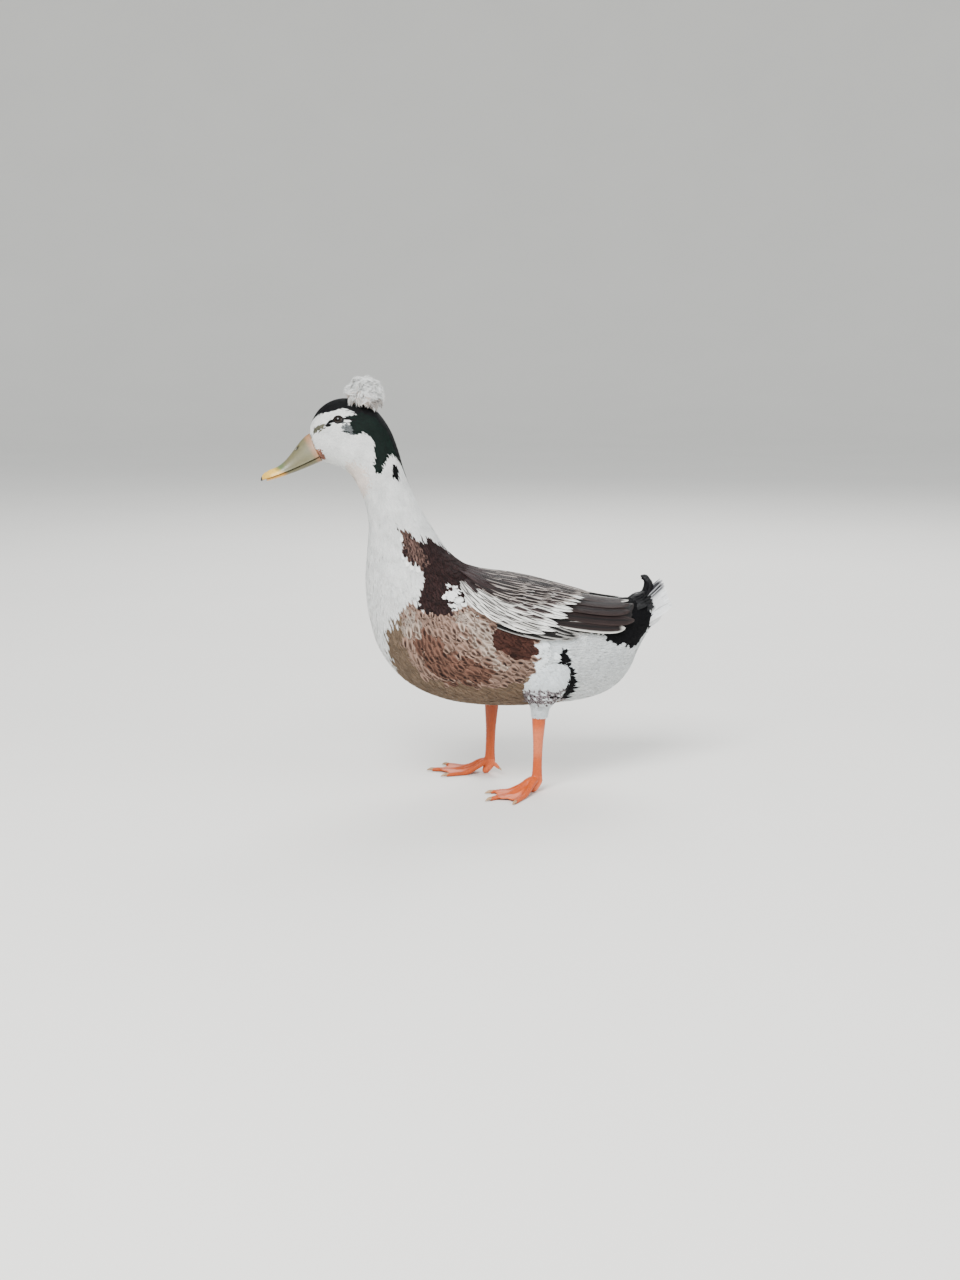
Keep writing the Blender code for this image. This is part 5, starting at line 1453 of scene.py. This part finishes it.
class DUCK_OT_eyes(bpy.types.Operator):
    """Make the eyes and their lids."""

    bl_idname = "duck.eyes"
    bl_label = "Eyes"

    def execute(self, context):
        # A wet surface that mirrors the lights in small sharp points.
        wet = tinted("wet cornea over a dark iris", 0.05, 2.0, 0.92, 1.05, 0.002, ior=1.38)
        # Thin dark skin, dull and finely wrinkled.
        lid = tinted("lid skin", 0.5, 1.5, 0.8, 1.1, 0.08, gloss=0.25)
        for name, side in SIDES.items():
            centre, out, ahead, up = eye_frame(side)
            self.eyeball(name, centre, out, ahead, up, wet)
            self.lids(name, centre, out, ahead, up, lid)
        return {"FINISHED"}

    def eyeball(self, name, centre, out, ahead, up, wet):
        """Eyeball with its pupil and iris."""
        rings, colours = [], []
        pupil, iris, rim = (linear(code) for code in ("#020202", "#1a0c04", "#050302"))
        around = ring_turns(64)[:, None]
        circle = ahead * np.cos(around) + up * np.sin(around)
        for angle in np.linspace(0.02, math.pi - 0.02, 48):
            rings.append(centre + EYE_RADIUS * (out * math.cos(angle) + circle * math.sin(angle)))
            tone = blend(pupil, iris, smooth((angle - 0.42) / 0.05))
            colours += [blend(tone, rim, smooth((angle - 0.68) / 0.08))] * len(around)
        points, faces = tube(rings, (centre + out * EYE_RADIUS, centre - out * EYE_RADIUS))
        colours += [pupil, rim]
        made = new_piece("eyeball_" + name, points, faces, wet, "eyes", np.array(colours))
        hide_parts("eye_" + name)

    def lids(self, name, centre, out, ahead, up, lid):
        """Lids in an almond round the eye, which hug the eyeball and run out under the feathers."""
        rings, colours = [], []
        level = EYE_RADIUS - EYE_BULGE
        for a in ring_turns(64):
            # The corners are drawn out a little, forwards and back.
            reach_x = (LID_REACH[0] + 0.5 * abs(math.cos(a)) ** 6) * math.cos(a)
            reach_y = LID_REACH[1] * math.sin(a) * (0.95 if math.sin(a) > 0 else 1.0)
            rim = math.hypot(reach_x, reach_y)
            way = (ahead * reach_x + up * reach_y) / rim
            ball = math.sqrt(max(1.0, EYE_RADIUS ** 2 - rim ** 2))
            flesh = level - (rim + 2.0) ** 2 / 44.0
            profile = ((-0.10, ball - 0.5), (-0.05, ball + 0.05), (0.20, ball + 0.24), (0.50, ball + 0.12),
                       (1.0, (ball + flesh) / 2), (1.7, flesh - 0.4), (3.0, flesh - 1.8), (0.8, ball - 1.8))
            rings.append(np.array([centre + way * (rim + away) + out * high for away, high in profile]))
            colours += [linear("#050505")] * 4 + [linear("#0c0c0c")] * 4
        points = list(np.concatenate(rings))
        count = len(rings[0])
        faces = []
        for i in range(len(rings)):
            j = (i + 1) % len(rings)
            for k in range(count):
                m = (k + 1) % count
                faces.append((i * count + k, i * count + m, j * count + m, j * count + k))
        new_piece("eyelids_" + name, points, outward_faces(points, faces), lid, "eyes", np.array(colours))


def leg_middle(name, height):
    """Middle of the leg at a height; the heel curves forward under the joint of the toes."""
    root, ahead, _ = leg_frame(name)
    forward = 4.0 * (1 - smooth(height / 11.0)) - HOCK_BACK * height / HOCK_HEIGHT
    return root + ahead * forward + np.array((0.0, 0.0, height))


def round_limb(path, radii, tip=None, sides=16):
    """Tapering round limb along a path."""
    path = np.asarray(path)
    ways = unit(np.gradient(path, axis=0))
    rings = []
    for point, way, radius in zip(path, ways, radii):
        across = unit(np.cross(way, UPWARDS))
        up = unit(np.cross(across, way))
        turns = ring_turns(sides)[:, None]
        rings.append(point + (across * np.cos(turns) + up * np.sin(turns)) * radius)
    return tube(rings, (None, tip))


def toe_way(name, degrees):
    """Level direction of a toe that points so far inwards of the foot's own direction."""
    _, ahead, inward = leg_frame(name)
    angle = math.radians(degrees)
    return ahead * math.cos(angle) + inward * math.sin(angle)


def hind_toe_root(name):
    """Place on the back of the leg where the hind toe starts."""
    root, ahead, inward = leg_frame(name)
    return root - ahead * 3.0 + inward * 2.5 + UPWARDS * HIND_TOE_HEIGHT


def toe_line(name, toe, steps=24):
    """Middle line, radii and direction of a toe that comes down from the joint and lies on the floor."""
    turn, length, thick, thin = toe
    root = leg_frame(name)[0]
    way = toe_way(name, turn + LEG_PLACES[name][2])
    t = np.linspace(0, 1, steps + 1)
    knuckle = 1 + 0.09 * np.cos(2 * math.pi * (t * 3 + 0.5)) * (1 - t)
    radii = blend(thick, thin, t) * knuckle
    height = radii * 0.82 + TOE_RISE * (1 - smooth(t / TOE_DROP_END))
    points = root + way * (length * t)[:, None]
    points[:, 2] += height
    return points, radii, way


def web_plate(inner, outer):
    """Skin between two toes with a scalloped front edge and soft folds."""
    rows, columns = 24, 18
    layers = []
    for lift in (WEB_THICK / 2, -WEB_THICK / 2):
        grid = []
        for i in range(rows + 1):
            row = []
            for k in range(columns + 1):
                across = k / columns
                reach = i / rows * (WEB_REACH - WEB_SCALLOP * math.sin(math.pi * across)) * (len(inner) - 1)
                j = min(len(inner) - 2, int(reach))
                near, far = (blend(line[j], line[j + 1], reach - j) for line in (inner, outer))
                point = blend(near, far, across)
                belly = math.sin(math.pi * across)
                fold = 0.25 * math.sin(across * math.pi * 5) * belly * i / rows
                point[2] = max(WEB_THICK / 2 + 0.5, point[2] + 1.1 - 0.6 * belly) + lift + fold
                row.append(point)
            grid.append(row)
        layers.append(grid)
    return plate(*layers)


class DUCK_OT_legs(bpy.types.Operator):
    """Make the bare legs, webbed feet and claws."""

    bl_idname = "duck.legs"
    bl_label = "Legs"

    def execute(self, context):
        settings = context.scene.duck
        # Horny scaled skin with a slight shine on each scale.
        scaled = tinted("scaled leg skin", 0.48, 2.5, 0.86, 1.08, 0.12, coat_weight=0.08, ior=1.45)
        # Worn translucent horn, smooth along the claw.
        horn = tinted("claw horn", 0.4, 1.5, 0.8, 1.1, 0.05, ior=1.54)
        for name in SIDES:
            self.leg(name, settings, scaled)
            self.claws(name, horn)
        return {"FINISHED"}

    def leg(self, name, settings, scaled):
        """Bare leg and foot as one skin with its scales pressed into it."""
        _, ahead, inward = leg_frame(name)
        turns = ring_turns(32)[:, None]
        heights = np.concatenate([(0.3, 1.0, 2.0), np.linspace(3.5, 82.0, 50)])
        table = np.array(LEG_SECTIONS)
        depth, width = (np.interp(heights, table[:, 0], table[:, k]) for k in (1, 2))
        rings = [leg_middle(name, h) + ahead * d * np.cos(turns) + inward * w * np.sin(turns)
                 for h, d, w in zip(heights, depth, width)]
        shapes = [tube(rings)]
        lines = []
        for toe in TOES:
            points, radii, way = toe_line(name, toe)
            lines.append((points, radii, way, toe[1]))
            shapes.append(round_limb(points, radii, points[-1] + way * toe[3] * 0.9))
        for inner, outer in zip(lines, lines[1:]):
            shapes.append(web_plate(inner[0], outer[0]))
        start, way = hind_toe_root(name), toe_way(name, HIND_TOE[0])
        hind = [start + way * far - UPWARDS * drop
                for far, drop in ((0.0, 0.0), (3.4, 0.8), (6.5, 2.0), (HIND_TOE[1], HIND_TOE_DROP))]
        shapes.append(round_limb(hind, (HIND_TOE[2], 2.4, 2.2, HIND_TOE[3]),
                                 hind[-1] + way * 1.2 - UPWARDS * 0.6))
        made = new_piece("leg_skin_" + name, *joined(shapes), scaled, "leg_skin")
        fuse(made, settings.leg_voxel, 8)
        points, normals = mesh_points(made.data)
        groove = self.scales(name, points, normals, lines, settings.scale_size)
        points = points - normals * (groove * CREASE_DEPTH)[:, None]
        points[:, 2] = np.maximum(points[:, 2], 0.0)
        move_points(made.data, points)
        colours = self.colours(name, points, lines, groove, settings)
        write_attribute(made.data, "tint", colours, "FLOAT_COLOR")
        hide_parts("shank_" + name, "foot_" + name)

    def scales(self, name, points, normals, lines, size):
        """How deep each point lies in a crease: scutes in front and on the toes, small scales elsewhere."""
        draw = np.random.default_rng(71)
        order = draw.permutation(len(points))
        cells, seeds = {}, []
        # Scales grow round seeds that stand no closer together than their size.
        for i in order:
            key = tuple(np.floor(points[i] / size).astype(int))
            near = [cells.get((key[0] + a, key[1] + b, key[2] + c)) for a in (-1, 0, 1) for b in (-1, 0, 1)
                    for c in (-1, 0, 1)]
            if all(n is None or np.sum((points[n] - points[i]) ** 2) > size * size for n in near):
                cells.setdefault(key, i)
                seeds.append(i)
        tree = KDTree(len(seeds))
        for k, i in enumerate(seeds):
            tree.insert(points[i], k)
        tree.balance()
        gaps = np.zeros(len(points))
        for i, point in enumerate(points):
            two = tree.find_n(point, 2)
            gaps[i] = two[1][2] - two[0][2]
        groove = 1 - smooth(gaps / CREASE_WIDTH)
        root, ahead, _ = leg_frame(name)
        height = points[:, 2]
        middle = root - ahead * HOCK_BACK * (height / HOCK_HEIGHT)[:, None]
        flat = points - middle
        flat[:, 2] = 0.0
        front = (flat @ ahead) / np.maximum(0.5, np.linalg.norm(flat, axis=1))
        phase = np.abs(np.mod(height / SCUTE_HEIGHT + 0.06 * front, 1.0) - 0.5) * 2
        band = smooth((phase - 0.84) / 0.14)
        mask = smooth((front - 0.55) / 0.15) * smooth((height - 19) / 3) * (1 - smooth((height - 70) / 4))
        groove = groove * (1 - mask) + band * mask
        for line, radii, way, length in lines:
            along = (points - line[0]) @ way
            t = np.clip(along / length, 0, 1)
            across = np.cross(way, UPWARDS)
            off = np.abs((points - line[0]) @ across)
            radius = np.interp(t, np.linspace(0, 1, len(radii)), radii)
            on_top = smooth((normals[:, 2] - 0.25) / 0.3) * (1 - smooth((off - radius * 0.80) / 0.8))
            on_top = on_top * (along > 3) * (along < length + 2) * (height < 19)
            phase = np.abs(np.mod(along / TOE_SCUTE, 1.0) - 0.5) * 2
            groove = groove * (1 - on_top) + smooth((phase - 0.78) / 0.18) * on_top
        return groove

    def colours(self, name, points, lines, groove, settings):
        """Orange shanks and toes, paler webs, and painted shade that darkens the creases and the soles along
        the floor.
        """
        height = points[:, 2]
        nearest = np.full(len(points), 99.0)
        for line, radii, way, length in lines:
            t = np.clip((points - line[0]) @ way / length, 0, 1)
            share = np.linspace(0, 1, len(line))
            at = np.stack([np.interp(t, share, line[:, k]) for k in range(3)], 1)
            nearest = np.minimum(nearest, np.linalg.norm(points - at, axis=1) - np.interp(t, share, radii))
        web = smooth((nearest - 0.6) / 3.0) * (height < 16)
        orange, salmon = np.array(settings.leg_orange), np.array(settings.web_salmon)
        made = blend(orange, salmon, (0.12 + 0.88 * web)[:, None])
        # The near leg is painted paler in its middle and the far leg darker towards the top: painted light
        # and painted shade on two legs of one colour.
        if name == "left":
            pale = smooth((height - 30) / 14) * (1 - smooth((height - 60) / 12)) * 0.35
            made = blend(made, linear("#e08a66"), pale[:, None])
        else:
            made = made * (1 - 0.30 * smooth((height - 30) / 40))[:, None]
        # Painted shade in the creases between scales.
        made = blend(made, linear("#7a3418"), (groove * 0.35)[:, None])
        # Painted shade along the floor: everything within 1.6 mm of it, soles and all, is darker.
        floor_shade = 1 - smooth(height / 1.6)
        return blend(made, linear("#6b4a38"), (floor_shade * 0.7)[:, None])

    def claws(self, name, horn):
        """Claws on the toes and the hind toe, slightly hooked."""
        shapes = []
        for toe in TOES:
            points, _, way = toe_line(name, toe)
            end = points[-1]
            path = [end + way * far + UPWARDS * rise
                    for far, rise in ((-2.0, 0.5), (1.0, 0.75), (2.6, 0.55), (4.4, 0.05), (5.9, -0.6))]
            tip = end + way * CLAW_LENGTH - UPWARDS * 1.1
            shapes.append(round_limb(path, (1.7, 1.65, 1.4, 1.0, 0.55), tip, 14))
        way = toe_way(name, HIND_TOE[0])
        end = hind_toe_root(name) + way * HIND_TOE[1] - UPWARDS * HIND_TOE_DROP
        path = [end + way * far + UPWARDS * rise for far, rise in ((-1.0, 0.3), (1.2, -0.2), (2.6, -0.9))]
        shapes.append(round_limb(path, (1.3, 1.15, 0.7), end + way * 4.0 - UPWARDS * 1.9, 12))
        points, faces = joined(shapes)
        points = np.array(points)
        points[:, 2] = np.maximum(points[:, 2], 0.05)
        new_piece("claws_" + name, points, faces, horn, "leg_skin", linear("#a98662"))


# The camera stands 10 degrees above the bird's level, turned 16 degrees towards its head.
CAMERA_TURN, CAMERA_TILT, CAMERA_FAR, CAMERA_HEIGHT = -16.0, 10.0, 1900.0, 484.0
FOCAL_PIXELS, PICTURE_HEIGHT, PICTURE_MIDDLE, BIRD_COLUMN = 1900.0, 1280.0, 480.0, 505.0
SENSOR = 36.0


class DUCK_OT_stage(bpy.types.Operator):
    """Make the floor, the lights and the camera."""

    bl_idname = "duck.stage"
    bl_label = "Stage"

    def execute(self, context):
        self.floor(context.scene.duck)
        self.lights()
        self.camera()
        return {"FINISHED"}

    def floor(self, settings):
        """Pale plain floor, which curves up far away all round so that no edge shows."""
        bend, flat, around = 3.0, 5.0, 96
        profile = [(0.0, 0.0), (1.0, 0.0), (3.0, 0.0), (flat, 0.0)]
        profile += [(flat + bend * math.sin(a), bend * (1 - math.cos(a)))
                    for a in np.linspace(0.1, math.pi / 2, 14)]
        points = [(r * math.cos(a), r * math.sin(a), z) for r, z in profile[1:] for a in ring_turns(around)]
        faces = [tuple(range(around))]
        for i in range(len(profile) - 2):
            for k in range(around):
                j = (k + 1) % around
                faces.append((i * around + k, (i + 1) * around + k, (i + 1) * around + j, i * around + j))
        mesh = bpy.data.meshes.new("floor")
        mesh.from_pydata(points, [], faces)
        mesh.shade_smooth()
        floor = add_object("floor", mesh)
        # Matt painted board: a faint cloudiness keeps it from looking like plain paper.
        material, tree, principled = shader("painted floor board", 0.85)
        node = partial(add_node, tree)
        place = node("ShaderNodeTexCoord")["Object"]
        noise = node("ShaderNodeTexNoise", {"Scale": 3.0, "Detail": 3.0, "Vector": place})[0]
        dark, pale = ((*(c * share for c in settings.floor_tone), 1.0) for share in (0.97, 1.03))
        colour = node("ShaderNodeMix", {0: noise, 6: dark, 7: pale}, data_type="RGBA")[2]
        tree.links.new(colour, principled.inputs["Base Color"])
        mesh.materials.append(material)

    def lights(self):
        """Broad soft key from above the bird's face, a fill and a light from behind, and a pale sky."""
        for name, place, power, size in (
                ("key", (-1.2, -1.7, 2.2), 142.0, 1.3),
                ("fill", (1.7, -1.6, 1.1), 30.0, 1.8),
                ("back", (0.9, 1.8, 1.9), 54.0, 1.4)):
            lamp = bpy.data.lights.new(name, "AREA")
            lamp.energy = power
            lamp.size = size
            light = add_object(name, lamp)
            light.location = place
            aim = Vector((0.0, 0.0, 0.2)) - Vector(place)
            light.rotation_euler = aim.to_track_quat("-Z", "Y").to_euler()
        world = bpy.data.worlds.new("pale room")
        bpy.context.scene.world = world
        world.use_nodes = True
        sky = world.node_tree.nodes["Background"]
        sky.inputs["Color"].default_value = (*linear("#dfe3e6"), 1.0)
        sky.inputs["Strength"].default_value = 1.12

    def camera(self):
        """Camera at the photograph's angle."""
        turn, tilt = math.radians(CAMERA_TURN), math.radians(CAMERA_TILT)
        ahead = Vector((-math.sin(turn), math.cos(turn), 0.0))
        right = Vector((math.cos(turn), math.sin(turn), 0.0))
        off = (BIRD_COLUMN - PICTURE_MIDDLE) / FOCAL_PIXELS * CAMERA_FAR
        place = -ahead * CAMERA_FAR - right * off
        place.z = CAMERA_HEIGHT
        look = ahead * math.cos(tilt) - Vector((0.0, 0.0, math.sin(tilt)))
        lens = bpy.data.cameras.new("camera")
        lens.sensor_fit = "VERTICAL"
        lens.sensor_height = SENSOR
        lens.lens = FOCAL_PIXELS / PICTURE_HEIGHT * SENSOR
        lens.clip_start = 0.02
        camera = add_object("camera", lens)
        camera.location = (place + Vector(CENTRE)) * MM
        camera.rotation_euler = look.to_track_quat("-Z", "Y").to_euler()
        bpy.context.scene.camera = camera


OPERATORS = (DUCK_OT_stage, DUCK_OT_skin, DUCK_OT_small_feathers, DUCK_OT_wings, DUCK_OT_tail, DUCK_OT_crest,
             DUCK_OT_bill, DUCK_OT_eyes, DUCK_OT_legs)


class DUCK_PT_panel(bpy.types.Panel):
    """Panel that lists the steps of dressing the duck."""

    bl_idname = "DUCK_PT_panel"
    bl_label = "Crested duck"
    bl_space_type = "VIEW_3D"
    bl_region_type = "UI"
    bl_category = "Duck"

    def draw(self, context):
        settings = context.scene.duck
        for key in DuckSettings.__annotations__:
            self.layout.prop(settings, key)
        for operator in OPERATORS:
            self.layout.operator(operator.bl_idname)


CLASSES = (DuckSettings, *OPERATORS, DUCK_PT_panel)


def register():
    """Registers the settings, the operators and the panel."""
    for made in CLASSES:
        bpy.utils.register_class(made)
    bpy.types.Scene.duck = bpy.props.PointerProperty(type=DuckSettings)


def unregister():
    """Takes them out again."""
    del bpy.types.Scene.duck
    for made in reversed(CLASSES):
        bpy.utils.unregister_class(made)


def main():
    """Dresses the duck."""
    register()
    for operator in OPERATORS:
        name = operator.bl_idname.split(".")[1]
        getattr(bpy.ops.duck, name)()


if __name__ == "__main__":
    main()
